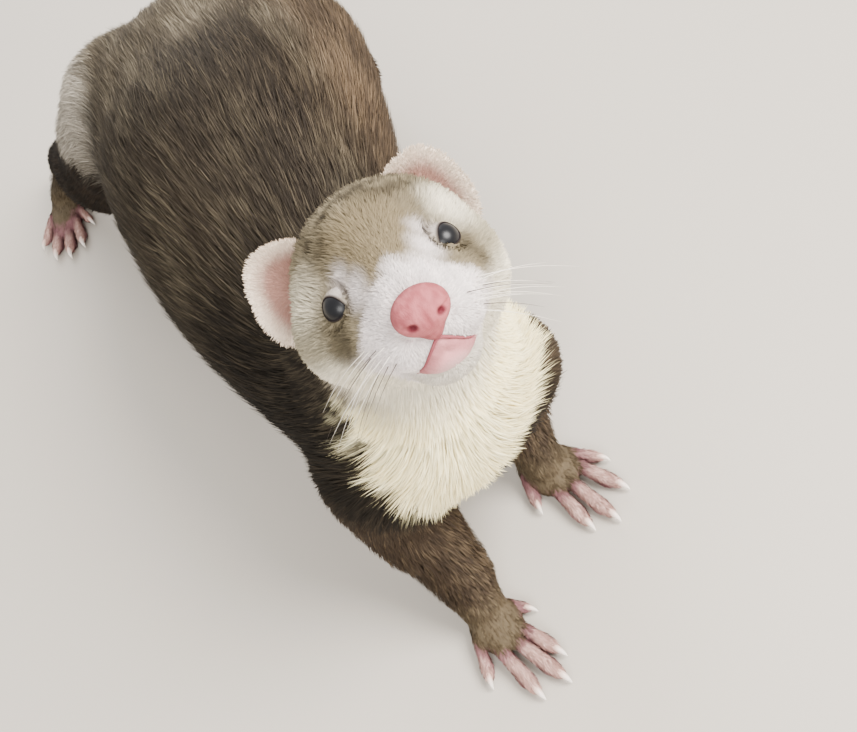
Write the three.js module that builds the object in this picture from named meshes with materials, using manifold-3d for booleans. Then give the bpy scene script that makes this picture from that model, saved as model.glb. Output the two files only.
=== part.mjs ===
// A life-size ferret that stands on all fours and looks up, as a still museum model.
// Millimetres, +Z up. The ferret faces -Y, and +X is its own left side.
// The body is one smooth form, made of named egg shapes and tapered limbs that melt into
// each other. It is parted by thin flat cuts into the pieces that a person would name.
// All sizes are those of the coat's outer surface, so the bare skin would lie inside them.
import * as THREE from "three";
import { mergeVertices } from "three/addons/utils/BufferGeometryUtils.js";
import Module from "manifold-3d";

const wasm = await Module();
wasm.setup();

// Joints between neighbouring pieces are this wide.
const GAP = 0.3;

// Head carriage: the point midway between the eyes, and how far the muzzle is lifted and turned.
const EYE_POINT = [3.8, 0, 132];
const HEAD_PITCH = THREE.MathUtils.degToRad(40);
const HEAD_ROLL = THREE.MathUtils.degToRad(-1);
const HEAD_YAW = THREE.MathUtils.degToRad(0.5);

// Trunk stations from the breast to the rump: the middle of each and its half width and half height.
const TRUNK_FRONT = 22;
const TRUNK_REAR = 50;
const TRUNK = [
  { at: [-6, 10, 71], half: [29, 29] },
  { at: [-10.5, 34, 75], half: [33.5, 32] },
  { at: [-16, 70, 78], half: [38, 36] },
  { at: [-13, 112, 79], half: [45, 39.5] },
  { at: [-9, 158, 71], half: [50, 39] },
];

const NECK = { from: [-4, 20, 82], to: [0, 19, -6], radii: [27, 20.5], blend: 12 };

// Limbs run through joints, each with its centre and radius, and end at the ankle.
const LIMB_BLEND = 8;
const FORE_RIGHT = [
  { at: [-25, 12, 60], radius: 17 },
  { at: [-27, 11, 37], radius: 14.5 },
  { at: [-23.5, -2, 20], radius: 10.6 },
  { at: [-23, -10, 9], radius: 7.4 },
];
const FORE_LEFT = [
  { at: [17, 18, 60], radius: 15.5 },
  { at: [19, 31, 37], radius: 13.5 },
  { at: [14, 27, 20], radius: 10.2 },
  { at: [13.5, 19, 9], radius: 7.4 },
];
const HIND_RIGHT = [
  { at: [-38, 189, 67], radius: 29.5 },
  { at: [-62, 206, 44], radius: 19 },
  { at: [-78, 246, 28], radius: 11 },
  { at: [-88, 268, 12], radius: 7.5 },
  { at: [-95, 258, 7.5], radius: 6.2 },
];
const HIND_LEFT = [
  { at: [8, 190, 58], radius: 27 },
  { at: [27, 184, 38], radius: 17 },
  { at: [27, 216, 26], radius: 11 },
  { at: [26, 240, 12], radius: 7.5 },
  { at: [28, 228, 7.5], radius: 6.2 },
];

const TAIL_BLEND = 10;
const TAIL = [
  { at: [-8, 196, 60], radius: 18 },
  { at: [-5, 226, 42], radius: 15.5 },
  { at: [1, 252, 23], radius: 14 },
  { at: [11, 284, 15.5], radius: 15 },
  { at: [24, 312, 14.5], radius: 14.5 },
  { at: [38, 336, 10.5], radius: 9.5 },
  { at: [50, 354, 6], radius: 1.5 },
];

// Head shapes in the head's own frame: x to its left, y backward along the muzzle, z to the crown.
const HEAD_BLEND = 5;
const SKULL = { at: [0, 20, 1.8], radii: [21, 21, 16.8] };
const HEAD_EGGS = [
  { at: [9.5, 12, -8], radii: [14, 17, 15], blend: HEAD_BLEND },
  { at: [-11, 12, -6.5], radii: [15.2, 17, 14.5], blend: HEAD_BLEND },
  { at: [-1, 5, -13.5], radii: [14, 15, 11.5], blend: 5 },
  { at: [7.5, -3, -8.5], radii: [9.5, 12, 8.2], blend: 5 },
  { at: [-7.5, -3, -8.5], radii: [9.5, 12, 8.2], blend: 5 },
  { at: [0, -9, -8], radii: [11, 15.5, 8], blend: 4 },
  { at: [5.4, -15.4, -10], radii: [6.6, 8.6, 6.5], blend: 3 },
  { at: [-5.4, -15.4, -10], radii: [6.6, 8.6, 6.5], blend: 3 },
  { at: [0, -7, -17.5], radii: [8.6, 12, 6.8], blend: 3 },
];
const BRIDGE = { from: [0, 8, 4.6], to: [0, -16, -3.4], radii: [13, 5.8], blend: 5 };

const EYE = { spread: 11.2, back: -0.4, rise: -0.6, gaze: [0.64, -0.7, 0.32], radius: 3.6, depth: 2.2 };
const LID = { ring: 3.3, thick: 0.8 };
const NOSE = { at: [0, -24.6, -5.6], radii: [5.8, 4.4, 4.6] };
const NOSTRIL = { spread: 3.3, rise: -7.4, radius: 1 };
const LIP = { at: [0, -16, -16.4], radii: [5.4, 4.9, 3.9] };
const MOUTH_LINE = [
  [-8.6, -9, -15.8],
  [-7.4, -14, -16.4],
  [-5.2, -19.5, -15.9],
  [-2.2, -22.6, -13.4],
  [0, -23.4, -12],
  [2.2, -22.6, -13.4],
  [5.2, -19.5, -15.9],
  [7.4, -14, -16.4],
  [8.6, -9, -15.8],
];
const MOUTH_WIDTH = 0.75;

// Ears: a shallow cup each, nearly square in outline, set where the skull meets the neck.
const EAR = { half: [9.6, 11.8], squareness: 2.6, cup: 4.2, thick: 1.3, turn: 16, lean: 10 };
const EAR_SEATS = { ear_right: { at: [-20.4, 24, 5], side: -1 }, ear_left: { at: [16.4, 24, 5.6], side: 1 } };

// Feet: the digits as seen from above on a right foot, inner side first.
const FORE_RIGHT_DIGITS = [
  { root: [4.5, -4], tip: [7.7, -8.8], radius: 1.9 },
  { root: [2.6, -10], tip: [5.7, -22.6], radius: 2.3 },
  { root: [-0.8, -11.5], tip: [1.9, -28.4], radius: 2.45 },
  { root: [-5, -11], tip: [-5.4, -26.6], radius: 2.4 },
  { root: [-7.6, -7], tip: [-11.8, -15.4], radius: 2 },
];
const FORE_LEFT_DIGITS = [
  { root: [6.6, -2], tip: [10.6, -9.4], radius: 1.9 },
  { root: [3.8, -9], tip: [7, -24.4], radius: 2.35 },
  { root: [0, -11], tip: [1.3, -28.6], radius: 2.45 },
  { root: [-4.4, -9], tip: [-7, -24.9], radius: 2.4 },
  { root: [-5.5, -4], tip: [-10.6, -15.6], radius: 2 },
];
const HIND_DIGITS = [
  { root: [5, -22], tip: [9.4, -28.6], radius: 1.9 },
  { root: [3.6, -26], tip: [6.6, -38.5], radius: 2.35 },
  { root: [0.4, -27], tip: [1.4, -41.8], radius: 2.5 },
  { root: [-4, -26.5], tip: [-5, -40], radius: 2.4 },
  { root: [-7, -22], tip: [-10.8, -32.6], radius: 2 },
];
const TOE_HEIGHTS = [4.2, 4.6, 3.6, 2.5, 2.9];
const TOE_SWELL = [0.8, 1, 0.96, 1.04, 0.72];
const CLAW = { length: 3.7, radius: 1.15, sink: 2.2, sides: 6 };

const FEET = {
  fore_right: { at: [-23.3, -9], yaw: 14, side: 1, digits: FORE_RIGHT_DIGITS, palm: [-1, -7.5, 7.8, 9] },
  fore_left: { at: [12.2, 23.6], yaw: 22, side: -1, digits: FORE_LEFT_DIGITS, palm: [0, -7.5, 8.4, 9] },
  hind_right: { at: [-90, 272], yaw: -18, side: 1, digits: HIND_DIGITS, palm: [-0.5, -19, 7.6, 17] },
  hind_left: { at: [26, 244], yaw: 9, side: -1, digits: HIND_DIGITS, palm: [-0.5, -19, 7.6, 17] },
};

// Signed distances: below zero inside a form.
function meltTogether(a, b, blend) {
  const h = THREE.MathUtils.clamp(0.5 + (0.5 * (b - a)) / blend, 0, 1);
  return b * (1 - h) + a * h - blend * h * (1 - h);
}

function hollowOut(a, b, blend) {
  return -meltTogether(-a, b, blend);
}

function egg(p, at, radii) {
  const qx = (p[0] - at[0]) / radii[0];
  const qy = (p[1] - at[1]) / radii[1];
  const qz = (p[2] - at[2]) / radii[2];
  const near = Math.hypot(qx, qy, qz);
  const steep = Math.hypot(qx / radii[0], qy / radii[1], qz / radii[2]) + 1e-9;
  return (near * (near - 1)) / steep;
}

function taper(p, from, to, startRadius, endRadius) {
  const dx = to[0] - from[0];
  const dy = to[1] - from[1];
  const dz = to[2] - from[2];
  const along = (p[0] - from[0]) * dx + (p[1] - from[1]) * dy + (p[2] - from[2]) * dz;
  const t = THREE.MathUtils.clamp(along / (dx * dx + dy * dy + dz * dz), 0, 1);
  const off = Math.hypot(p[0] - from[0] - t * dx, p[1] - from[1] - t * dy, p[2] - from[2] - t * dz);
  return off - (startRadius + t * (endRadius - startRadius));
}

// Rounds a row of joints into a smooth row of more of them.
function smoothRow(joints, perSpan) {
  const path = new THREE.CatmullRomCurve3(joints.map((j) => new THREE.Vector3(...j.at)));
  const count = (joints.length - 1) * perSpan;
  return Array.from({ length: count + 1 }, (_, i) => {
    const span = Math.min(Math.floor(i / perSpan), joints.length - 2);
    const t = i / perSpan - span;
    const eased = t * t * (3 - 2 * t);
    const radius = joints[span].radius * (1 - eased) + joints[span + 1].radius * eased;
    return { at: path.getPoint(i / count).toArray(), radius };
  });
}

function row(p, joints) {
  let d = Infinity;
  for (let i = 1; i < joints.length; i++) {
    const [a, b] = [joints[i - 1], joints[i]];
    d = Math.min(d, taper(p, a.at, b.at, a.radius, b.radius));
  }
  return d;
}

const LIMBS = [FORE_RIGHT, FORE_LEFT, HIND_RIGHT, HIND_LEFT].map((joints) => smoothRow(joints, 3));
const TAIL_ROW = smoothRow(TAIL, 4);

// The trunk: oval slices that change smoothly from station to station, rounded at both ends.
function trunk(p) {
  const last = TRUNK.length - 1;
  const y = THREE.MathUtils.clamp(p[1], TRUNK[0].at[1], TRUNK[last].at[1]);
  let i = 0;
  while (i < last - 1 && y > TRUNK[i + 1].at[1]) i++;
  const [a, b] = [TRUNK[i], TRUNK[i + 1]];
  const t = (y - a.at[1]) / (b.at[1] - a.at[1]);
  const [before, after] = [TRUNK[Math.max(i - 1, 0)], TRUNK[Math.min(i + 2, last)]];
  const flow = (pick) => {
    const slopeIn = ((pick(b) - pick(before)) / (b.at[1] - before.at[1])) * (b.at[1] - a.at[1]);
    const slopeOut = ((pick(after) - pick(a)) / (after.at[1] - a.at[1])) * (b.at[1] - a.at[1]);
    const [t2, t3] = [t * t, t * t * t];
    const [h0, h1, h2, h3] = [2 * t3 - 3 * t2 + 1, t3 - 2 * t2 + t, -2 * t3 + 3 * t2, t3 - t2];
    return h0 * pick(a) + h1 * slopeIn + h2 * pick(b) + h3 * slopeOut;
  };
  const middle = [flow((s) => s.at[0]), y, flow((s) => s.at[2])];
  const endLength = p[1] < y ? TRUNK_FRONT : TRUNK_REAR;
  return egg(p, middle, [flow((s) => s.half[0]), endLength, flow((s) => s.half[1])]);
}

// The head's frame in the body's frame.
const headFrame = new THREE.Group();
headFrame.position.set(...EYE_POINT);
headFrame.rotation.set(-HEAD_PITCH, HEAD_ROLL, HEAD_YAW, "ZXY");
headFrame.updateMatrixWorld(true);
const headToBody = headFrame.matrixWorld.clone();
const bodyToHead = headToBody.clone().invert();

function carried(matrix, p) {
  const v = new THREE.Vector3(...p).applyMatrix4(matrix);
  return [v.x, v.y, v.z];
}

function headForm(q) {
  let d = egg(q, SKULL.at, SKULL.radii);
  for (const e of HEAD_EGGS) d = meltTogether(d, egg(q, e.at, e.radii), e.blend);
  return meltTogether(d, taper(q, BRIDGE.from, BRIDGE.to, ...BRIDGE.radii), BRIDGE.blend);
}

const neckTop = carried(headToBody, NECK.to);

function footForm(p, foot) {
  const turn = THREE.MathUtils.degToRad(foot.yaw);
  const dx = p[0] - foot.at[0];
  const dy = p[1] - foot.at[1];
  const across = foot.side * (dx * Math.cos(turn) + dy * Math.sin(turn));
  const along = dy * Math.cos(turn) - dx * Math.sin(turn);
  const q = [across, along, p[2]];
  return egg(q, [foot.palm[0], foot.palm[1], 3.6], [foot.palm[2], foot.palm[3], 5.2]);
}

// The whole animal but for its ears, eyes and claws.
function bodyForm(p) {
  let d = trunk(p);
  d = meltTogether(d, taper(p, NECK.from, neckTop, ...NECK.radii), NECK.blend);
  for (const limb of LIMBS) d = meltTogether(d, row(p, limb), LIMB_BLEND);
  d = meltTogether(d, row(p, TAIL_ROW), TAIL_BLEND);
  for (const foot of Object.values(FEET)) d = meltTogether(d, footForm(p, foot), 2.5);
  return meltTogether(d, headForm(carried(bodyToHead, p)), 6);
}

// Walks a grid of cells over a form and lays one point in each cell that its surface crosses.
function surfaceOf(form, xs, ys, zs) {
  const [nx, ny, nz] = [xs.length, ys.length, zs.length];
  const at = (i, j, k) => (i * ny + j) * nz + k;
  const depth = new Float64Array(nx * ny * nz);
  for (let i = 0; i < nx; i++)
    for (let j = 0; j < ny; j++)
      for (let k = 0; k < nz; k++) {
        const onRim = i === 0 || j === 0 || k === 0 || i === nx - 1 || j === ny - 1 || k === nz - 1;
        const d = form([xs[i], ys[j], zs[k]]);
        depth[at(i, j, k)] = onRim ? Math.max(d, 0.01) : d;
      }
  const points = [];
  const cellPoint = new Map();
  const corner = [0, 1, 2, 3, 4, 5, 6, 7].map((c) => [c & 1, (c >> 1) & 1, (c >> 2) & 1]);
  const edges = [];
  for (let a = 0; a < 8; a++) for (const bit of [1, 2, 4]) if (!(a & bit)) edges.push([a, a | bit]);
  for (let i = 0; i < nx - 1; i++)
    for (let j = 0; j < ny - 1; j++)
      for (let k = 0; k < nz - 1; k++) {
        const sum = [0, 0, 0];
        let crossings = 0;
        for (const [a, b] of edges) {
          const [ai, aj, ak] = [i + corner[a][0], j + corner[a][1], k + corner[a][2]];
          const [bi, bj, bk] = [i + corner[b][0], j + corner[b][1], k + corner[b][2]];
          const [da, db] = [depth[at(ai, aj, ak)], depth[at(bi, bj, bk)]];
          if (da < 0 === db < 0) continue;
          const t = da / (da - db);
          sum[0] += xs[ai] + t * (xs[bi] - xs[ai]);
          sum[1] += ys[aj] + t * (ys[bj] - ys[aj]);
          sum[2] += zs[ak] + t * (zs[bk] - zs[ak]);
          crossings++;
        }
        if (!crossings) continue;
        cellPoint.set(at(i, j, k), points.length / 3);
        points.push(sum[0] / crossings, sum[1] / crossings, sum[2] / crossings);
      }
  const faces = [];
  const quad = (a, b, c, d, flip) => {
    const [p, q, r, s] = [a, b, c, d].map((cell) => cellPoint.get(cell));
    if (flip) faces.push(p, r, q, p, s, r);
    else faces.push(p, q, r, p, r, s);
  };
  for (let i = 0; i < nx - 1; i++)
    for (let j = 0; j < ny - 1; j++)
      for (let k = 0; k < nz - 1; k++) {
        const inside = depth[at(i, j, k)] < 0;
        if (j && k && inside !== depth[at(i + 1, j, k)] < 0)
          quad(at(i, j - 1, k - 1), at(i, j, k - 1), at(i, j, k), at(i, j - 1, k), !inside);
        if (i && k && inside !== depth[at(i, j + 1, k)] < 0)
          quad(at(i - 1, j, k - 1), at(i - 1, j, k), at(i, j, k), at(i, j, k - 1), !inside);
        if (i && j && inside !== depth[at(i, j, k + 1)] < 0)
          quad(at(i - 1, j - 1, k), at(i, j - 1, k), at(i, j, k), at(i - 1, j, k), !inside);
      }
  return solid(Float32Array.from(points), Uint32Array.from(faces));
}

function solid(vertProperties, triVerts) {
  return new wasm.Manifold(new wasm.Mesh({ numProp: 3, vertProperties, triVerts }));
}

function solidFrom(geometry) {
  const bare = new THREE.BufferGeometry();
  bare.setAttribute("position", geometry.getAttribute("position"));
  if (geometry.index) bare.setIndex(geometry.index);
  const merged = mergeVertices(bare, 1e-4);
  return solid(Float32Array.from(merged.attributes.position.array), Uint32Array.from(merged.index.array));
}

function steps(from, to, step) {
  const count = Math.ceil((to - from) / step);
  return Array.from({ length: count + 1 }, (_, i) => from + (i * (to - from)) / count);
}

// A block that fills the side of a flat cut that its normal points to.
function sideOf(point, normal) {
  const size = 700;
  const block = new THREE.BoxGeometry(size, size, size);
  const n = new THREE.Vector3(...normal).normalize();
  block.translate(0, 0, size / 2 + GAP / 2);
  block.applyQuaternion(new THREE.Quaternion().setFromUnitVectors(new THREE.Vector3(0, 0, 1), n));
  block.translate(...point);
  return solidFrom(block);
}

const flip = (normal) => normal.map((v) => -v);

function largest(made) {
  const bodies = made.decompose();
  return bodies.reduce((a, b) => (b.volume() > a.volume() ? b : a));
}

// Closes up edges that a cut has left too short to matter.
const SHORT_EDGE = 0.03;
function withoutSlivers(made) {
  const { vertProperties: v, triVerts: t } = made.getMesh();
  const stands = Array.from({ length: v.length / 3 }, (_, i) => i);
  const root = (i) => {
    let k = i;
    while (stands[k] !== k) k = stands[k];
    return k;
  };
  for (let i = 0; i < t.length; i++) {
    const [a, b] = [t[i], t[i % 3 === 2 ? i - 2 : i + 1]];
    const apart = Math.hypot(v[3 * a] - v[3 * b], v[3 * a + 1] - v[3 * b + 1], v[3 * a + 2] - v[3 * b + 2]);
    if (apart < SHORT_EDGE) stands[Math.max(root(a), root(b))] = Math.min(root(a), root(b));
  }
  const faces = new Map();
  for (let i = 0; i < t.length; i += 3) {
    const [a, b, c] = [root(t[i]), root(t[i + 1]), root(t[i + 2])];
    if (a === b || b === c || c === a) continue;
    const key = [a, b, c].sort((p, q) => p - q).join();
    if (faces.has(key)) faces.delete(key);
    else faces.set(key, [a, b, c]);
  }
  return { vertProperties: v, triVerts: Uint32Array.from([...faces.values()].flat()) };
}

function meshOf(name, made, material, pivot = [0, 0, 0]) {
  const { vertProperties, triVerts } = withoutSlivers(largest(made));
  const geometry = new THREE.BufferGeometry();
  geometry.setAttribute("position", new THREE.BufferAttribute(Float32Array.from(vertProperties), 3));
  geometry.setIndex(new THREE.BufferAttribute(Uint32Array.from(triVerts), 1));
  geometry.translate(-pivot[0], -pivot[1], -pivot[2]);
  geometry.computeVertexNormals();
  const mesh = new THREE.Mesh(geometry, material);
  mesh.name = name;
  mesh.position.set(...pivot);
  return mesh;
}

// A tapered, closed strand along a path. Each ring has a half width and a half thickness.
function strand(path, rings, sides, up = [0, 0, 1]) {
  const points = path.map((q) => new THREE.Vector3(...q));
  const count = points.length;
  const places = [];
  for (let i = 0; i < count; i++) {
    const along = points[Math.min(i + 1, count - 1)].clone().sub(points[Math.max(i - 1, 0)]).normalize();
    const across = along.clone().cross(new THREE.Vector3(...up)).normalize();
    const outward = across.clone().cross(along).normalize();
    for (let k = 0; k < sides; k++) {
      const angle = (2 * Math.PI * k) / sides;
      const place = points[i].clone();
      place.addScaledVector(across, rings[i][0] * Math.cos(angle));
      place.addScaledVector(outward, rings[i][1] * Math.sin(angle));
      places.push(...place.toArray());
    }
  }
  const [first, last] = [count * sides, count * sides + 1];
  places.push(...points[0].toArray(), ...points[count - 1].toArray());
  const faces = [];
  for (let k = 0; k < sides; k++) {
    const next = (k + 1) % sides;
    for (let i = 0; i < count - 1; i++) {
      const [a, b] = [i * sides + k, i * sides + next];
      faces.push(a, a + sides, b, b, a + sides, b + sides);
    }
    faces.push(first, k, next);
    faces.push(last, (count - 1) * sides + next, (count - 1) * sides + k);
  }
  const made = solid(Float32Array.from(places), Uint32Array.from(faces));
  return made;
}

// An egg-shaped solid with few sides, its poles along y.
function eggSolid(at, radii, around, rings) {
  const geometry = new THREE.SphereGeometry(1, around, rings);
  geometry.scale(...radii);
  geometry.translate(...at);
  return solidFrom(geometry);
}

const coat = (color) => new THREE.MeshStandardMaterial({ color, roughness: 0.9, metalness: 0 });
const COATS = {
  back: coat(0x6b5c4b),
  bib: coat(0xe9e2cf),
  face: coat(0xc9bfae),
  legs: coat(0x574a3d),
  ears: coat(0xe8dccf),
};
const PINK_SKIN = new THREE.MeshStandardMaterial({ color: 0xdb9c9b, roughness: 0.45, metalness: 0 });
const EYE_GLASS = new THREE.MeshStandardMaterial({ color: 0x14100f, roughness: 0.05, metalness: 0 });
const HORN = new THREE.MeshStandardMaterial({ color: 0xe9d3c6, roughness: 0.4, metalness: 0 });

const ferret = new THREE.Group();
const body = new THREE.Group();
ferret.add(body);
const head = new THREE.Group();
head.applyMatrix4(headToBody);
body.add(head);

// Flat cuts that part the body, each with a point and a normal.
const headSeamNormal = [0, 0.8, -0.6];
const headSeamPoint = [0, 28, -10];
const headSeam = {
  point: carried(headToBody, headSeamPoint),
  normal: new THREE.Vector3(...headSeamNormal).transformDirection(headToBody).toArray(),
};
const CUTS = {
  chest: { point: [-4, 18, 88], normal: [0, 0.25, -1] },
  belly: { point: [-12, 62, 76], normal: [0, 1, 0.1] },
  hips: { point: [-11, 132, 76], normal: [0, 1, 0.1] },
  tail: { point: [-6, 214, 54], normal: [0, 0.8, -0.6] },
  tailTip: { point: [8, 278, 16], normal: [0.3, 1, 0] },
};
const before = (cut) => sideOf(cut.point, flip(cut.normal));
const after = (cut) => sideOf(cut.point, cut.normal);

const LEG_CUTS = {
  foreleg_right: [
    { point: [-24, 14, 47], normal: [-0.45, 0, -1] },
    { point: [-28, 42, 40], normal: [0, -1, 0] },
    { point: [-6, 14, 40], normal: [-1, 0, 0] },
  ],
  foreleg_left: [
    { point: [17, 20, 47], normal: [0.45, 0, -1] },
    { point: [20, 52, 40], normal: [0, -1, 0] },
    { point: [-1, 14, 40], normal: [1, 0, 0] },
  ],
  hindleg_right: [
    { point: [-45, 190, 62], normal: [-1, 0.1, -0.55] },
    { point: [-40, 150, 40], normal: [0, 1, 0] },
    { point: [-28, 190, 40], normal: [-1, 0, 0] },
  ],
  hindleg_left: [
    { point: [20, 190, 45], normal: [0.5, 0, -1] },
    { point: [20, 150, 40], normal: [0, 1, 0] },
    { point: [6, 190, 40], normal: [1, -0.18, 0] },
    { point: [27, 262, 20], normal: [0, -1, 0] },
  ],
};
const shared = (parts) => parts.reduce((a, b) => a.intersect(b));
const legSide = (cuts) => shared(cuts.map(after));
const legRoom = (cuts) =>
  shared(
    cuts.map((cut) => {
      const n = new THREE.Vector3(...cut.normal).normalize().multiplyScalar(-GAP);
      return sideOf([cut.point[0] + n.x, cut.point[1] + n.y, cut.point[2] + n.z], cut.normal);
    }),
  );
const ALL_LEG_ROOM = Object.values(LEG_CUTS).map(legRoom);
const withoutLegs = (made) => ALL_LEG_ROOM.reduce((a, room) => a.subtract(room), made);

function fleshPiece([x, y, z], cell) {
  return surfaceOf(bodyForm, steps(...x, cell), steps(...y, cell * 1.1), steps(...z, cell));
}

// Trunk and neck come from one surface, so that they meet edge to edge.
const trunkGrid = [
  steps(-78, 62, 7.8),
  [...steps(-31, 56, 7.2), ...steps(65, 248, 11)],
  [...steps(18, 82, 9.2), ...steps(89, 136, 7)],
];
const trunkPiece = surfaceOf(bodyForm, ...trunkGrid);
const trunkOnly = withoutLegs(trunkPiece);
const TRUNK_PIECES = {
  neck: {
    made: shared([trunkPiece, after(headSeam), before(CUTS.chest), before(CUTS.belly)]),
    pivot: [0, 18, 100],
  },
  chest: { made: trunkOnly.intersect(after(CUTS.chest)).intersect(before(CUTS.belly)), pivot: [-8, 20, 72] },
  belly: { made: trunkOnly.intersect(after(CUTS.belly)).intersect(before(CUTS.hips)), pivot: [-12, 96, 76] },
  hips: { made: trunkOnly.intersect(after(CUTS.hips)).intersect(before(CUTS.tail)), pivot: [-10, 170, 68] },
};

const TRUNK_COATS = { neck: COATS.bib, chest: COATS.bib, belly: COATS.back, hips: COATS.back };
for (const [name, piece] of Object.entries(TRUNK_PIECES)) {
  body.add(meshOf(name, piece.made, TRUNK_COATS[name], piece.pivot));
}

// Tail, in two lengths.
const aboveFloor = sideOf([0, 0, -GAP / 2], [0, 0, 1]);
const tailRootPiece = withoutLegs(fleshPiece([[-40, 36], [192, 296], [-4, 92]], 7.6))
  .intersect(after(CUTS.tail))
  .intersect(before(CUTS.tailTip))
  .intersect(aboveFloor);
body.add(meshOf("tail_root", tailRootPiece, COATS.legs, [-3, 236, 38]));
// The brush: thick until near its end, then drawn to a point.
const TAIL_SIDES = 16;
const tailEnd = TAIL_ROW.slice(9);
const tailRings = tailEnd.map((joint) => [joint.radius, joint.radius]);
const tailTipPiece = strand(tailEnd.map((joint) => joint.at), tailRings, TAIL_SIDES)
  .intersect(after(CUTS.tailTip))
  .intersect(aboveFloor);
body.add(meshOf("tail_tip", tailTipPiece, COATS.legs, [16, 303, 14]));

// A place along a digit: t is the distance from its root and z the height above the floor.
function onDigit(foot, digit, t, z) {
  const turn = THREE.MathUtils.degToRad(foot.yaw);
  const [dx, dy] = [digit.tip[0] - digit.root[0], digit.tip[1] - digit.root[1]];
  const reach = Math.hypot(dx, dy);
  const across = foot.side * (digit.root[0] + (dx / reach) * t);
  const along = digit.root[1] + (dy / reach) * t;
  const x = across * Math.cos(turn) - along * Math.sin(turn);
  const y = across * Math.sin(turn) + along * Math.cos(turn);
  return [foot.at[0] + x, foot.at[1] + y, z];
}

const digitLength = (digit) => Math.hypot(digit.tip[0] - digit.root[0], digit.tip[1] - digit.root[1]);

// Toes: low knuckles that end in a rounded pad, flat where they rest on the floor.
function toeStrand(foot, digit) {
  const length = digitLength(digit);
  const shares = [-0.45, 0.1, 0.55, 0.9, 1 + (digit.radius * 0.8) / length];
  const path = shares.map((share, i) => onDigit(foot, digit, length * share, TOE_HEIGHTS[i]));
  const rings = TOE_SWELL.map((swell) => [digit.radius * swell, digit.radius * swell]);
  return strand(path, rings, 6);
}

// Claws: each starts inside its toe and curves forward and down, clear of the floor.
function clawStrand(foot, digit, extra) {
  const size = digit.radius / 2.45;
  const front = digitLength(digit) + digit.radius * 0.8;
  const length = CLAW.length * size;
  const path = [
    onDigit(foot, digit, front - CLAW.sink - extra, 2.9),
    onDigit(foot, digit, front + length * 0.26, 3.2),
    onDigit(foot, digit, front + length * 0.68, 2.6),
    onDigit(foot, digit, front + length + extra * 2, 1.1 - extra),
  ];
  const rings = [0.62, 1, 0.7, 0.16].map((share) => {
    const half = CLAW.radius * size * share + extra;
    return [half, half * 0.86];
  });
  return strand(path, rings, CLAW.sides);
}

// Legs, parted from their feet above the wrist or the heel.
const LEGS = {
  right_fore: {
    leg: "foreleg_right",
    foot: FEET.fore_right,
    ankle: { point: [-24, -5, 16], normal: [0.05, -0.4, -1] },
    legBox: [[-58, 4], [-28, 54], [6, 70]],
    footBox: [[-44, -4], [-42, 10], [-2, 26]],
  },
  left_fore: {
    leg: "foreleg_left",
    foot: FEET.fore_left,
    ankle: { point: [13.5, 24, 16], normal: [0, -0.3, -1] },
    legBox: [[-6, 50], [-4, 62], [6, 70]],
    footBox: [[-4, 42], [-12, 42], [-2, 26]],
  },
  right_hind: {
    leg: "hindleg_right",
    foot: FEET.hind_right,
    ankle: { point: [-84, 258, 20], normal: [-0.3, 0.55, -1] },
    legBox: [[-112, -20], [138, 290], [4, 100]],
    footBox: [[-128, -70], [220, 286], [-2, 30]],
  },
  left_hind: {
    leg: "hindleg_left",
    foot: FEET.hind_left,
    ankle: { point: [26, 230, 20], normal: [0, 0.6, -1] },
    legBox: [[-8, 64], [138, 262], [4, 76]],
    footBox: [[4, 54], [194, 260], [-2, 30]],
  },
};
for (const [name, limb] of Object.entries(LEGS)) {
  const isFore = name.endsWith("fore");
  const leg = fleshPiece(limb.legBox, isFore ? 5.6 : 7.2)
    .intersect(legSide(LEG_CUTS[limb.leg]))
    .intersect(before(limb.ankle));
  body.add(meshOf(limb.leg, leg, COATS.legs, limb.ankle.point));
  let foot = fleshPiece(limb.footBox, isFore ? 4.2 : 4.6).intersect(after(limb.ankle));
  for (const digit of limb.foot.digits) foot = foot.add(toeStrand(limb.foot, digit));
  foot = foot.intersect(aboveFloor);
  const pivot = [...limb.foot.at, 6];
  limb.foot.digits.forEach((digit, i) => {
    foot = foot.subtract(clawStrand(limb.foot, digit, GAP));
    const claw = clawStrand(limb.foot, digit, 0);
    body.add(meshOf(`claw_${name}_${i + 1}`, claw, HORN, pivot));
  });
  body.add(meshOf(`foot_${name}`, foot, COATS.legs, pivot));
}

// Head: finer cells at the muzzle than at the back of the skull.
const inHead = (q) => bodyForm(carried(headToBody, q));
const headGrid = [steps(-34, 34, 3.3), [...steps(-36, -8, 2.3), ...steps(-5, 44, 3.9)], steps(-36, 26, 3.3)];
let headPiece = surfaceOf(inHead, ...headGrid);
headPiece = headPiece.intersect(sideOf(headSeamPoint, flip(headSeamNormal)));
const headShell = surfaceOf((q) => inHead(q) - GAP * 1.2, ...headGrid);

// The point where a straight line from far outside first meets the head.
function onSkin(from, direction) {
  const d = new THREE.Vector3(...direction).normalize();
  const q = new THREE.Vector3(...from).addScaledVector(d, 12);
  for (let i = 0; i < 60 && inHead(q.toArray()) > 0.005; i++) {
    q.addScaledVector(d, -Math.max(inHead(q.toArray()), 0.01) * 0.7);
  }
  return q.toArray();
}

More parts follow.
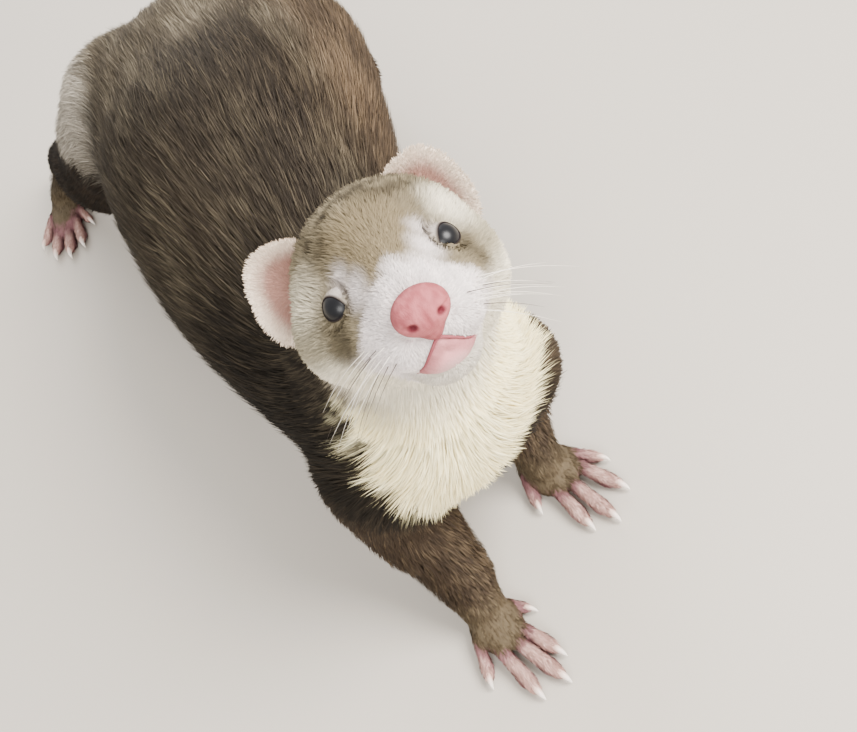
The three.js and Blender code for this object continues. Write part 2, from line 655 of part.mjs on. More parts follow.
// Eyes behind thin rims of lid, in sockets that follow them.
for (const side of [-1, 1]) {
  const gaze = new THREE.Vector3(side * EYE.gaze[0], EYE.gaze[1], EYE.gaze[2]).normalize();
  const seat = new THREE.Vector3(...onSkin([side * EYE.spread, EYE.back, EYE.rise], gaze.toArray()));
  const centre = seat.clone().addScaledVector(gaze, -EYE.depth);
  const turn = new THREE.Quaternion().setFromUnitVectors(new THREE.Vector3(0, 0, 1), gaze);
  const lid = new THREE.TorusGeometry(LID.ring, LID.thick, 6, 16);
  lid.applyQuaternion(turn);
  lid.translate(...seat.toArray());
  const ball = (radius) => {
    const geometry = new THREE.SphereGeometry(radius, 12, 8);
    geometry.rotateX(Math.PI / 2);
    geometry.applyQuaternion(turn);
    return geometry;
  };
  headPiece = headPiece.add(solidFrom(lid)).subtract(solidFrom(ball(EYE.radius + GAP).translate(...centre.toArray())));
  const eye = new THREE.Mesh(ball(EYE.radius), EYE_GLASS);
  eye.geometry = mergeVertices(eye.geometry.deleteAttribute("uv").deleteAttribute("normal"), 1e-4);
  eye.geometry.computeVertexNormals();
  eye.name = side < 0 ? "eye_right" : "eye_left";
  eye.position.copy(centre);
  head.add(eye);
}

// Nose pad with its two nostrils, set into the end of the muzzle.
headPiece = headPiece.subtract(eggSolid(NOSE.at, NOSE.radii.map((r) => r + GAP), 14, 9));
let nose = eggSolid(NOSE.at, NOSE.radii, 14, 9);
for (const side of [-1, 1]) {
  const path = [
    [side * (NOSTRIL.spread + 1.8), NOSE.at[1] - 1.6, NOSTRIL.rise + 1.3],
    [side * (NOSTRIL.spread + 0.5), NOSE.at[1] - 4.2, NOSTRIL.rise + 0.6],
    [side * NOSTRIL.spread, NOSE.at[1] - 4.6, NOSTRIL.rise],
    [side * (NOSTRIL.spread - 0.9), NOSE.at[1] - 1.8, NOSTRIL.rise + 0.8],
  ];
  const width = [0.3, 0.8, 1, 0.6].map((share) => [NOSTRIL.radius * share, NOSTRIL.radius * share]);
  nose = nose.subtract(strand(path, width, 6));
}
head.add(meshOf("nose", nose, PINK_SKIN, NOSE.at));

// Lower lip, and the line of the mouth between it and the upper lips.
headPiece = headPiece.subtract(eggSolid(LIP.at, LIP.radii.map((r) => r + GAP), 12, 8));
const mouthPath = MOUTH_LINE.map((q) => onSkin(q, [q[0] * 0.05, -1, -0.25]));
const mouthRings = mouthPath.map((_, i) => {
  const share = i === 0 || i === mouthPath.length - 1 ? 0.35 : 1;
  return [MOUTH_WIDTH * share, MOUTH_WIDTH * share];
});
const mouthGroove = strand(mouthPath, mouthRings, 6);
headPiece = headPiece.subtract(mouthGroove);
head.add(meshOf("lower_lip", eggSolid(LIP.at, LIP.radii, 12, 8).subtract(mouthGroove), PINK_SKIN, LIP.at));
head.add(meshOf("head", headPiece, COATS.face));

// Ears: a cup whose rim is a rounded square, trimmed to the side of the head.
function earCup(side) {
  const around = 16;
  const shares = [0.36, 0.66, 0.88];
  const places = [0, EAR.cup, 0];
  const place = (share, angle, y) => {
    const [c, w] = [Math.cos(angle), Math.sin(angle)];
    const squared = (Math.abs(c) ** EAR.squareness + Math.abs(w) ** EAR.squareness) ** (-1 / EAR.squareness);
    places.push(EAR.half[0] * squared * c * share, y, EAR.half[1] * squared * w * share);
  };
  const bowl = (share) => EAR.cup * (1 - share * share);
  for (const share of shares)
    for (let k = 0; k < around; k++) place(share, (2 * Math.PI * k) / around, bowl(share) - EAR.thick * 0.3);
  for (let k = 0; k < around; k++) place(1, (2 * Math.PI * k) / around, 0);
  for (const share of [...shares].reverse())
    for (let k = 0; k < around; k++) place(share, (2 * Math.PI * k) / around, bowl(share) + EAR.thick * 0.7);
  places.push(0, EAR.cup + EAR.thick, 0);
  const rings = shares.length * 2 + 1;
  const back = 1 + rings * around;
  const faces = [];
  for (let k = 0; k < around; k++) {
    const next = (k + 1) % around;
    faces.push(0, 1 + k, 1 + next);
    for (let r = 0; r < rings - 1; r++) {
      const [a, b] = [1 + r * around + k, 1 + r * around + next];
      faces.push(a, a + around, b, b, a + around, b + around);
    }
    faces.push(back, 1 + (rings - 1) * around + next, 1 + (rings - 1) * around + k);
  }
  const geometry = new THREE.BufferGeometry();
  geometry.setAttribute("position", new THREE.BufferAttribute(Float32Array.from(places), 3));
  geometry.setIndex(faces);
  geometry.rotateY(THREE.MathUtils.degToRad(-side * EAR.lean));
  geometry.rotateZ(THREE.MathUtils.degToRad(side * EAR.turn));
  return geometry;
}
for (const [name, seat] of Object.entries(EAR_SEATS)) {
  const cup = solidFrom(earCup(seat.side).translate(...seat.at));
  head.add(meshOf(name, cup.subtract(headShell), COATS.ears, seat.at));
}

const bounds = new THREE.Box3().setFromObject(ferret);
const middle = bounds.getCenter(new THREE.Vector3());
body.position.set(-middle.x, -middle.y, 0);

export default ferret;
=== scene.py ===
"""A life-size ferret that stands and looks up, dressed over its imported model.

One skin covers the flesh. Over it lie the coat's tufts, and the eyes, ears, nose, lip, claws
and whiskers are pieces of their own. Sizes in the tables are millimetres, with the ferret's
left at +X, its tail at +Y and the point between its eyes at y = 0.
"""
import itertools
import math

import bpy
import numpy as np
from bpy.props import FloatProperty, FloatVectorProperty, IntProperty
from mathutils import Matrix, Vector
from mathutils.kdtree import KDTree


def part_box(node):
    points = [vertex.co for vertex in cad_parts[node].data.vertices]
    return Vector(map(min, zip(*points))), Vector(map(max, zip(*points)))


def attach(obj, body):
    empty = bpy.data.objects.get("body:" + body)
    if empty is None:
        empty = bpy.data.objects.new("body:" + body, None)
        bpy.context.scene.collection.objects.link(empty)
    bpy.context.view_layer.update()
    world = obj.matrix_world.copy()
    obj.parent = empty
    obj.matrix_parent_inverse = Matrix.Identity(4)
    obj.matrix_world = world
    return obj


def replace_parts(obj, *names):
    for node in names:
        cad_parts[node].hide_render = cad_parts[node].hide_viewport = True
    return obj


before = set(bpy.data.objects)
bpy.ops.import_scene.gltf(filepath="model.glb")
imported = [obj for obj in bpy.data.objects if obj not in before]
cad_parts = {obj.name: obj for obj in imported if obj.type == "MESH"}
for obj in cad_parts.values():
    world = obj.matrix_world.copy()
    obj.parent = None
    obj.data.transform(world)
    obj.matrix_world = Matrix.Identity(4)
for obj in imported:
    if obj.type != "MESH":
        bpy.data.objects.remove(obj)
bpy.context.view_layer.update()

bl_info = {
    "name": "Standing Ferret",
    "version": (1, 0, 0),
    "blender": (4, 5, 0),
    "location": "3D View > Sidebar > Ferret",
    "description": "Skin, coat, face and claws of a ferret that stands and looks up",
    "category": "Object",
}

# The body's form.

EYE_POINT = np.array([3.8, 0.0, 132.0])
HEAD_PITCH, HEAD_ROLL, HEAD_YAW = math.radians(40), math.radians(-1), math.radians(0.5)

TRUNK_FRONT, TRUNK_REAR = 22.0, 50.0
TRUNK = [
    ((-6, 10, 71), (29, 29)),
    ((-10.5, 34, 75), (33.5, 32)),
    ((-16, 70, 78), (38, 36)),
    ((-13, 112, 79), (45, 39.5)),
    ((-9, 158, 71), (50, 39)),
]
NECK_FROM, NECK_TO, NECK_RADII = (-4, 20, 82), (0, 19, -6), (27, 20.5)
LIMB_JOINTS = {
    "fore_right": [(-25, 12, 60, 17), (-27, 11, 37, 14.5), (-23.5, -2, 20, 10.6), (-23, -10, 9, 7.4)],
    "fore_left": [(17, 18, 60, 15.5), (19, 31, 37, 13.5), (14, 27, 20, 10.2), (13.5, 19, 9, 7.4)],
    "hind_right": [
        (-38, 189, 67, 29.5),
        (-62, 206, 44, 19),
        (-78, 246, 28, 11),
        (-88, 268, 12, 7.5),
        (-95, 258, 7.5, 6.2),
    ],
    "hind_left": [
        (8, 190, 58, 27),
        (27, 184, 38, 17),
        (27, 216, 26, 11),
        (26, 240, 12, 7.5),
        (28, 228, 7.5, 6.2),
    ],
}
TAIL_JOINTS = [
    (-8, 196, 60, 18),
    (-5, 226, 42, 15.5),
    (1, 252, 23, 14),
    (11, 284, 15.5, 15),
    (24, 312, 14.5, 14.5),
    (38, 336, 10.5, 9.5),
    (50, 354, 6, 1.5),
]
SKULL = ((0, 20, 1.8), (21, 21, 16.8))
HEAD_EGGS = [
    ((9.5, 12, -8), (14, 17, 15), 5),
    ((-11, 12, -6.5), (15.2, 17, 14.5), 5),
    ((-1, 5, -13.5), (14, 15, 11.5), 5),
    ((7.5, -3, -8.5), (9.5, 12, 8.2), 5),
    ((-7.5, -3, -8.5), (9.5, 12, 8.2), 5),
    ((0, -9, -8), (11, 15.5, 8), 4),
    ((5.4, -15.4, -10), (6.6, 8.6, 6.5), 3),
    ((-5.4, -15.4, -10), (6.6, 8.6, 6.5), 3),
    ((0, -7, -17.5), (8.6, 12, 6.8), 3),
]
BRIDGE = ((0, 8, 4.6), (0, -16, -3.4), 13, 5.8)
WHORL = (0.0, -48.0, -6.0)
FORE_RIGHT_DIGITS = [
    ((4.5, -4), (7.7, -8.8), 1.9),
    ((2.6, -10), (5.7, -22.6), 2.3),
    ((-0.8, -11.5), (1.9, -28.4), 2.45),
    ((-5, -11), (-5.4, -26.6), 2.4),
    ((-7.6, -7), (-11.8, -15.4), 2.0),
]
FORE_LEFT_DIGITS = [
    ((6.6, -2), (10.6, -9.4), 1.9),
    ((3.8, -9), (7, -24.4), 2.35),
    ((0, -11), (1.3, -28.6), 2.45),
    ((-4.4, -9), (-7, -24.9), 2.4),
    ((-5.5, -4), (-10.6, -15.6), 2.0),
]
HIND_DIGITS = [
    ((5, -22), (9.4, -28.6), 1.9),
    ((3.6, -26), (6.6, -38.5), 2.35),
    ((0.4, -27), (1.4, -41.8), 2.5),
    ((-4, -26.5), (-5, -40), 2.4),
    ((-7, -22), (-10.8, -32.6), 2.0),
]
HIND_PALM = (-0.5, -19, 7.6, 17)
FEET = {
    "fore_right": ((-23.3, -9), 14, 1, FORE_RIGHT_DIGITS, (-1, -7.5, 7.8, 9)),
    "fore_left": ((12.2, 23.6), 22, -1, FORE_LEFT_DIGITS, (0, -7.5, 8.4, 9)),
    "hind_right": ((-90, 272), -18, 1, HIND_DIGITS, HIND_PALM),
    "hind_left": ((26, 244), 9, -1, HIND_DIGITS, HIND_PALM),
}
EYE_SPREAD, EYE_BACK, EYE_RISE = 11.2, -0.4, -0.6
EYE_GAZE = (0.64, -0.7, 0.32)
EYE_RADIUS, EYE_DEPTH, EYE_APERTURE = 3.6, 2.2, 2.45
NOSE_AT, NOSE_RADII = (0, -24.6, -5.6), (5.8, 4.4, 4.6)
LIP_AT, LIP_RADII = (0, -16, -16.4), (5.4, 4.9, 3.9)
MOUTH_LINE = [(-8.6, -9, -15.8), (-7.4, -14, -16.4), (-5.2, -19.5, -15.9), (-2.2, -22.6, -13.4)]
MOUTH_LINE += [(0, -23.4, -12)]
MOUTH_LINE += [(-x, y, z) for x, y, z in MOUTH_LINE[-2::-1]]
EAR_HALF, EAR_SQUARENESS, EAR_CUP, EAR_TURN, EAR_LEAN = (9.6, 11.8), 2.6, 4.2, 16, 10
EAR_SEATS = {-1: (-20.4, 24, 5), 1: (16.4, 24, 5.6)}
TOE_HEIGHTS = [4.2, 4.6, 3.6, 2.5, 2.9]
TOE_SWELL = [0.8, 1, 0.96, 1.04, 0.72]
CLAW_LENGTH, CLAW_RADIUS, CLAW_SINK, USUAL_TOE = 3.7, 1.15, 2.2, 2.45
SIDES = {-1: "right", 1: "left"}
NO_LENGTH = 1e-9


def unit(rows, least=0.0):
    """Each row at a length of one. A least length keeps rows without any from dividing by zero."""
    return rows / (np.linalg.norm(rows, axis=-1, keepdims=True) + least)


def melt(a, b, blend):
    """The smooth union of two distances."""
    h = np.clip(0.5 + 0.5 * (b - a) / blend, 0, 1)
    return b * (1 - h) + a * h - blend * h * (1 - h)


def egg(p, at, radii):
    q = (p - np.asarray(at, float)) / np.asarray(radii, float)
    near = np.linalg.norm(q, axis=-1)
    steep = np.linalg.norm(q / np.asarray(radii, float), axis=-1) + 1e-9
    return near * (near - 1) / steep


def taper(p, start, end, start_radius, end_radius):
    start, end = np.asarray(start, float), np.asarray(end, float)
    run = end - start
    t = np.clip(((p - start) @ run) / (run @ run), 0, 1)
    off = np.linalg.norm(p - start - t[:, None] * run, axis=1)
    return off - (start_radius + t * (end_radius - start_radius))


def smooth_row(joints, per_span):
    """Rounds a row of joints into a smooth row of more of them, as a centripetal curve."""
    joints = np.asarray(joints, float)
    points = joints[:, :3]
    padded = np.vstack([2 * points[0] - points[1], points, 2 * points[-1] - points[-2]])
    rows = []
    count = (len(joints) - 1) * per_span
    for i in range(count + 1):
        span = min(i // per_span, len(joints) - 2)
        t = i / per_span - span
        a, b, c, d = padded[span : span + 4]
        g0, g1, g2 = (max(np.linalg.norm(v) ** 0.5, 1e-4) for v in (b - a, c - b, d - c))
        out = ((b - a) / g0 - (c - a) / (g0 + g1) + (c - b) / g1) * g1
        into = ((c - b) / g1 - (d - b) / (g1 + g2) + (d - c) / g2) * g1
        at = b + out * t + (3 * (c - b) - 2 * out - into) * t**2 + (2 * (b - c) + out + into) * t**3
        eased = t * t * (3 - 2 * t)
        radius = joints[span, 3] * (1 - eased) + joints[span + 1, 3] * eased
        rows.append([*at, radius])
    return np.array(rows)


def row(p, joints):
    """Distance to a row of tapered lengths, and the way along it at each point."""
    best = np.full(len(p), 1e9)
    way = np.zeros((len(p), 3))
    for a, b in zip(joints[:-1], joints[1:]):
        d = taper(p, a[:3], b[:3], a[3], b[3])
        closer = d < best
        best[closer] = d[closer]
        way[closer] = (b[:3] - a[:3]) / np.linalg.norm(b[:3] - a[:3])
    return best, way


LIMB_ROWS = {name: smooth_row(joints, 3) for name, joints in LIMB_JOINTS.items()}
TAIL_ROW = smooth_row(TAIL_JOINTS, 4)


def flow(values, y):
    """Smooth values from station to station of the trunk, as a function of y."""
    ats, values = (np.array(row, float) for row in ([at[1] for at, _ in TRUNK], values))
    last = len(ats) - 1
    i = np.clip(np.searchsorted(ats, y, side="left") - 1, 0, last - 1)
    before, after = np.maximum(i - 1, 0), np.minimum(i + 2, last)
    run = ats[i + 1] - ats[i]
    t = (y - ats[i]) / run
    slope_in = (values[i + 1] - values[before]) / (ats[i + 1] - ats[before]) * run
    slope_out = (values[after] - values[i]) / (ats[after] - ats[i]) * run
    t2, t3 = t * t, t * t * t
    return (
        (2 * t3 - 3 * t2 + 1) * values[i]
        + (t3 - 2 * t2 + t) * slope_in
        + (-2 * t3 + 3 * t2) * values[i + 1]
        + (t3 - t2) * slope_out
    )


def trunk(p):
    y = np.clip(p[:, 1], TRUNK[0][0][1], TRUNK[-1][0][1])
    x, z, wide, high = (flow(row, y) for row in zip(*((at[0], at[2], *half) for at, half in TRUNK)))
    middle = np.stack([x, y, z], 1)
    radii = np.stack([wide, np.where(p[:, 1] < y, TRUNK_FRONT, TRUNK_REAR), high], 1)
    q = (p - middle) / radii
    near = np.linalg.norm(q, axis=1)
    return near * (near - 1) / (np.linalg.norm(q / radii, axis=1) + 1e-9)


HEAD_TURN = Matrix.Rotation(HEAD_YAW, 3, "Z") @ Matrix.Rotation(-HEAD_PITCH, 3, "X")
HEAD_TURN = np.array(HEAD_TURN @ Matrix.Rotation(HEAD_ROLL, 3, "Y"))


def to_head(p):
    return (np.asarray(p, float) - EYE_POINT) @ HEAD_TURN


def from_head(q):
    return EYE_POINT + np.asarray(q, float) @ HEAD_TURN.T


def head_form(q):
    d = egg(q, *SKULL)
    for at, radii, blend in HEAD_EGGS:
        d = melt(d, egg(q, at, radii), blend)
    return melt(d, taper(q, *BRIDGE), 5)


def to_foot(p, foot):
    (x, y), yaw, side, _, _ = foot
    turn = math.radians(yaw)
    dx, dy = p[:, 0] - x, p[:, 1] - y
    across = side * (dx * math.cos(turn) + dy * math.sin(turn))
    return np.stack([across, dy * math.cos(turn) - dx * math.sin(turn), p[:, 2]], 1)


def from_foot(across, along, foot):
    """A step in a foot's own frame, as one across and along the body."""
    c, s, across = math.cos(math.radians(foot[1])), math.sin(math.radians(foot[1])), foot[2] * across
    return across * c - along * s, across * s + along * c


def toe_row(root, tip, radius):
    """The knuckles and pad of a digit in its foot's own frame, each with its radius."""
    reach = math.dist(root, tip)
    shares = [-0.45, 0.1, 0.55, 0.9, 1 + radius * 0.8 / reach]
    stops = []
    for share, height, swell in zip(shares, TOE_HEIGHTS, TOE_SWELL):
        across = root[0] + (tip[0] - root[0]) * share
        along = root[1] + (tip[1] - root[1]) * share
        stops.append([across, along, height, radius * swell])
    return np.array(stops)


def foot_form(p, foot, toed=True):
    q = to_foot(p, foot)
    palm = foot[4]
    d = egg(q, (palm[0], palm[1], 3.6), (palm[2], palm[3], 5.2))
    if not toed:
        return d
    near = (q[:, 2] < 16) & (np.abs(q[:, 0]) < 22) & (q[:, 1] > -54) & (q[:, 1] < 10)
    if near.any():
        toes = np.min([row(q[near], toe_row(*digit))[0] for digit in foot[3]], axis=0)
        d[near] = melt(d[near], toes, 0.9)
    return d


def on_toes(p):
    """How much of a place belongs to a digit, and how much painted shade lies beside one, between the toes.
    """
    toe, cleft = np.zeros(len(p)), np.zeros(len(p))
    for foot in FEET.values():
        q = to_foot(p, foot)
        near = np.flatnonzero((q[:, 2] < 12) & (np.abs(q[:, 0]) < 20) & (q[:, 1] > -54) & (q[:, 1] < 10))
        palm = foot[4]
        out = np.hypot((q[near, 0] - palm[0]) / (palm[2] + 0.4), (q[near, 1] - palm[1]) / (palm[3] + 0.4))
        out += 0.05 * waves(q[near], 1.6, 77)
        edge = 0.98 if palm[3] < 12 else 0.8
        free = ease(edge + 0.02, edge + 0.4, out)
        for root, tip, radius in foot[3]:
            run = np.subtract(tip, root)
            reach = np.linalg.norm(run)
            along = (q[near, :2] - root) @ run / reach
            aside = np.abs((q[near, 0] - root[0]) * run[1] - (q[near, 1] - root[1]) * run[0]) / reach
            beyond = ease(-1.5, 0.5, along)
            toe[near] = np.maximum(toe[near], ease(radius * 1.0, radius * 0.5, aside) * free * beyond)
            base = ease(edge - 0.12, edge + 0.02, out)
            cleft[near] = np.maximum(cleft[near], ease(radius * 2.4, radius * 1.3, aside) * base * beyond)
    return toe, cleft


PARTS = ["trunk", "neck", *LIMB_JOINTS, "tail", *(f"foot_{name}" for name in FEET), "head"]


def parts_of(p, with_way=False, toed=True):
    """Distances to each part of the body, and the way that its hair runs.

    The hair of the head runs away from the whorl, a place ahead of the nose.
    """
    count = len(p)
    distances = [trunk(p), taper(p, NECK_FROM, from_head(NECK_TO), *NECK_RADII)]
    neck = np.array(NECK_FROM, float) - from_head(NECK_TO)
    ways = [np.tile([0.0, 1.0, -0.06], (count, 1)), np.tile(neck / np.linalg.norm(neck), (count, 1))]
    for joints in (*LIMB_ROWS.values(), TAIL_ROW):
        d, way = row(p, joints)
        distances.append(d)
        ways.append(way)
    for foot in FEET.values():
        distances.append(foot_form(p, foot, toed))
        fan = unit(to_foot(p, foot)[:, :2] - (foot[4][0], foot[4][1] + 14), NO_LENGTH)
        ways.append(np.stack([*from_foot(fan[:, 0], fan[:, 1], foot), np.full(count, -0.1)], 1))
    q = to_head(p)
    distances.append(head_form(q))
    if not with_way:
        return np.stack(distances, 1)
    ways.append(unit(q - WHORL) @ HEAD_TURN.T)
    return np.stack(distances, 1), np.stack(ways, 1)


def joined(distances):
    """The body as one distance, out of those to its parts."""
    blends = [0, 12, 8, 8, 8, 8, 10, 2.5, 2.5, 2.5, 2.5, 6]
    d = distances[:, 0]
    for k in range(1, len(PARTS)):
        d = melt(d, distances[:, k], blends[k])
    return d


def shares_of(distances, soft=3.0):
    """How much each part has to say at a place, from 0 to 1."""
    near = np.exp(-(distances - distances.min(1, keepdims=True)) / soft)
    return near / near.sum(1, keepdims=True)


def ease(low, high, value):
    t = np.clip((value - low) / (high - low), 0, 1)
    return t * t * (3 - 2 * t)


# How deep the coat lies on each part.
COAT_DEPTH = {"trunk": 4.2, "neck": 3.6, "fore": 2.2, "hind": 2.8, "tail": 6.0, "foot": 0.6, "head": 1.7}


def coat_depth(p, shares):
    depth = np.zeros(len(p))
    for k, name in enumerate(PARTS):
        depth += shares[:, k] * COAT_DEPTH[name.split("_")[0]]
    q = to_head(p)
    face = ease(6, -14, q[:, 1]) * shares[:, -1]
    depth = depth * (1 - face) + 0.6 * face
    depth *= 0.25 + 0.75 * ease(5, 26, p[:, 2] + 12 * ease(250, 290, p[:, 1]))
    tail_end = ease(326, 354, p[:, 1])
    return depth * (1 - 0.75 * tail_end)


def eye_seats():
    """The middle of each eye and the way it looks, in the head's own frame."""
    seats = {}
    for side in SIDES:
        gaze = np.array([side * EYE_GAZE[0], EYE_GAZE[1], EYE_GAZE[2]])
        gaze /= np.linalg.norm(gaze)
        at = on_skin((side * EYE_SPREAD, EYE_BACK, EYE_RISE), gaze)
        seats[side] = (at - gaze * EYE_DEPTH, gaze)
    return seats


def from_sight(q, at, gaze):
    """How far places lie ahead of an eye, and the steps to them from its line of sight."""
    off = q - at
    ahead = off @ gaze
    return ahead, off - ahead[..., None] * gaze


def on_skin(start, direction):
    """Where a line from far outside first meets the head's surface, in the head's own frame."""
    direction = np.asarray(direction, float) / np.linalg.norm(direction)
    q = np.asarray(start, float) + direction * 12
    for _ in range(60):
        d = joined(parts_of(from_head(q[None])))[0]
        if d <= 0.005:
            break
        q = q - direction * max(d, 0.01) * 0.7
    return q


EYES = eye_seats()


def lip_row():
    """The edge of the lower lip, just under the line of the mouth."""
    edge = np.array([on_skin(q, (q[0] * 0.05, -1, -0.25)) for q in MOUTH_LINE[1:-1]])
    edge += (np.array([0.0, -10.0, -11.0]) - edge) * 0.1 + (0, 0.5, -1.1)
    return np.column_stack([edge, [0.15, 0.7, 1.35, 1.6, 1.35, 0.7, 0.15]])


LIP_ROW = lip_row()


def down_lip(q, start, end):
    """How far down the slope of the lower lip a place is, from 0 to 1."""
    return ease(start, end, q[:, 2] + 0.35 * (q[:, 1] + 18))


def lip_form(q):
    """The lower lip, which sinks into the chin below."""
    sunk = down_lip(q, -17.5, -20.5)
    return melt(egg(q, LIP_AT, np.array(LIP_RADII) - 0.05), row(q, LIP_ROW)[0], 2.0) + 0.9 * sunk


def shift_to_frame():
    """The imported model's place: the step from the tables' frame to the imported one."""
    steps = []
    for side, name in SIDES.items():
        low, high = (np.array(corner) * 1000 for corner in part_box(f"eye_{name}"))
        steps.append((low + high) / 2 - from_head(EYES[side][0]))
    step = np.mean(steps, axis=0)
    return np.array([step[0], step[1], 0.0])


SHIFT = shift_to_frame()


def placed(p):
    """From the tables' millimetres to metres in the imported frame."""
    return (np.asarray(p, float) + SHIFT) / 1000


# Surfaces from distances.


def in_turns(form, places, step=200000):
    """A form's distances at many places, some at a time."""
    return np.concatenate([form(places[i : i + step]) for i in range(0, len(places), step)])


class DistanceGrid:
    """Distances on a grid of cells, worked out fully only near the surface."""

    def __init__(self, form, low, high, cell, block=4):
        self.low, self.cell = np.asarray(low, float), cell
        blocks = np.ceil((np.asarray(high, float) - self.low) / (cell * block)).astype(int)
        axes = [self.low[i] + cell * block * np.arange(blocks[i] + 1) for i in range(3)]
        corners = np.stack(np.meshgrid(*axes, indexing="ij"), -1)
        coarse = in_turns(form, corners.reshape(-1, 3)).reshape(corners.shape[:3])
        near = np.zeros(tuple(blocks), bool)
        for corner in np.ndindex(2, 2, 2):
            part = coarse[tuple(slice(c, c + blocks[i]) for i, c in enumerate(corner))]
            near |= np.abs(part) < cell * block * 2
        index = [np.arange(blocks[i] * block + 1) for i in range(3)]
        own = [np.minimum(index[i] // block, blocks[i] - 1) for i in range(3)]
        past = [np.maximum((index[i] - 1) // block, 0) for i in range(3)]
        need = np.zeros(tuple(len(i) for i in index), bool)
        for corner in np.ndindex(2, 2, 2):
            need |= near[np.ix_(*[(own, past)[c][i] for i, c in enumerate(corner)])]
        self.values = coarse[np.ix_(*[i // block for i in index])].copy()
        self.values[need] = in_turns(form, self.low + np.argwhere(need) * cell)

    def at(self, p):
        f = (p - self.low) / self.cell
        i = np.clip(np.floor(f).astype(int), 0, np.array(self.values.shape) - 2)
        w = f - i
        total = np.zeros(len(p))
        for corner in np.ndindex(2, 2, 2):
            share = np.ones(len(p))
            for axis, c in enumerate(corner):
                share *= w[:, axis] if c else 1 - w[:, axis]
            total += share * self.values[i[:, 0] + corner[0], i[:, 1] + corner[1], i[:, 2] + corner[2]]
        return total

    def outward(self, p):
        slope = np.empty((len(p), 3))
        for axis in range(3):
            step = np.zeros(3)
            step[axis] = self.cell * 0.7
            slope[:, axis] = self.at(p + step) - self.at(p - step)
        return unit(slope, 1e-12)

    def surface(self):
        """Points and quads of the surface, one point in each cell that it crosses."""
        values = self.values
        cells = np.array(values.shape) - 1
        sums, ids, quads = [], [], []
        for axis in range(3):
            ahead = [slice(None)] * 3
            behind = [slice(None)] * 3
            behind[axis], ahead[axis] = slice(0, -1), slice(1, None)
            a, b = values[tuple(behind)], values[tuple(ahead)]
            where = np.argwhere((a < 0) != (b < 0))
            va, vb = a[tuple(where.T)], b[tuple(where.T)]
            point = where.astype(float)
            point[:, axis] += va / (va - vb)
            first, second = (axis + 1) % 3, (axis + 2) % 3
            corners = []
            for back_first, back_second in ((1, 1), (0, 1), (0, 0), (1, 0)):
                cell = where.copy()
                cell[:, first] -= back_first
                cell[:, second] -= back_second
                number = (cell[:, 0] * cells[1] + cell[:, 1]) * cells[2] + cell[:, 2]
                corners.append(number)
                ids.append(number)
                sums.append(point)
            quad = np.stack(corners, 1)
            turned = va >= 0
            quad[turned] = quad[turned][:, ::-1]
            quads.append(quad)
        ids, sums, quads = np.concatenate(ids), np.concatenate(sums), np.concatenate(quads)
        used, inverse = np.unique(ids, return_inverse=True)
        count = np.bincount(inverse)
        points = np.stack([np.bincount(inverse, sums[:, i]) / count for i in range(3)], 1)
        return self.low + points * self.cell, np.searchsorted(used, quads)


def bare(p):
    """The skin under the coat, without the toes, and swollen over the eyes."""
    distances = parts_of(p, toed=False)
    skin = joined(distances) + coat_depth(p, shares_of(distances))
    q = to_head(p)
    for at, gaze in EYES.values():
        ahead, aside = from_sight(q, at, gaze)
        beside = np.linalg.norm(aside, axis=1)
        skin = melt(skin, np.linalg.norm(q - at, axis=1) - EYE_RADIUS + 0.6, 3.2)
        skin += 0.5 * ease(2.6, 1.8, beside) * ease(0, 1.5, ahead)
    return melt(skin, lip_form(q) + 0.25, 0.6)


# Meshes.


def mesh_of(name, points, faces, colours=None, patches=None):
    """A mesh object from arrays: points in metres, faces of 3 or 4 corners, a colour a point."""
    sides = faces.shape[1]
    mesh = bpy.data.meshes.new(name)
    mesh.vertices.add(len(points))
    mesh.vertices.foreach_set("co", np.ascontiguousarray(points, np.float32).ravel())
    mesh.loops.add(faces.size)
    mesh.loops.foreach_set("vertex_index", np.ascontiguousarray(faces, np.int32).ravel())
    mesh.polygons.add(len(faces))
    mesh.polygons.foreach_set("loop_start", np.arange(0, faces.size, sides, dtype=np.int32))
    mesh.update(calc_edges=True)
    mesh.polygons.foreach_set("use_smooth", np.ones(len(faces), bool))
    if colours is not None:
        layer = mesh.color_attributes.new(name="coat_colour", type="FLOAT_COLOR", domain="POINT")
        full = np.ones((len(points), 4), np.float32)
        full[:, :3] = colours
        layer.data.foreach_set("color", full.ravel())
    if patches is not None:
        layer = mesh.uv_layers.new(name="OFBake")
        layer.data.foreach_set("uv", np.ascontiguousarray(patches[faces.ravel()], np.float32).ravel())
    mesh.validate()
    made = bpy.data.objects.new(name, mesh)
    bpy.context.scene.collection.objects.link(made)
    return made


def dressed(made, kind):
    """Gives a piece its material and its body."""
    made.data.materials.append(finish(kind))
    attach(made, "root")
    return made


def joined_mesh(name, pieces, kind):
    """One object out of several (points, faces, colours)."""
    points, faces, colours, base = [], [], [], 0
    for p, f, c in pieces:
        points.append(p)
        faces.append(f + base)
        colours.append(np.broadcast_to(c, p.shape))
        base += len(p)
    return dressed(mesh_of(name, *(np.concatenate(rows) for rows in (points, faces, colours))), kind)


def head_piece(name, points, faces, colours, kind):
    """One object out of points in the head's own frame."""
    return joined_mesh(name, [(placed(from_head(points)), faces, colours)], kind)


def ring_quads(rings, around):
    """Quads between closed rings of points."""
    a = np.arange((rings - 1) * around)
    b = a - a % around + (a + 1) % around
    return np.stack([a, a + around, b + around, b], 1)


def capped(rings, around):
    """Triangles between closed rings of points and out to the two end points that follow them."""
    k, end = np.arange(around), (rings - 1) * around
    after, first = (k + 1) % around, np.full(around, rings * around)
    caps = np.stack([first, k, after, first + 1, end + after, end + k], 1)
    sides = ring_quads(rings, around)[:, [0, 1, 3, 3, 1, 2]]
    return np.concatenate([sides, caps]).reshape(-1, 3)


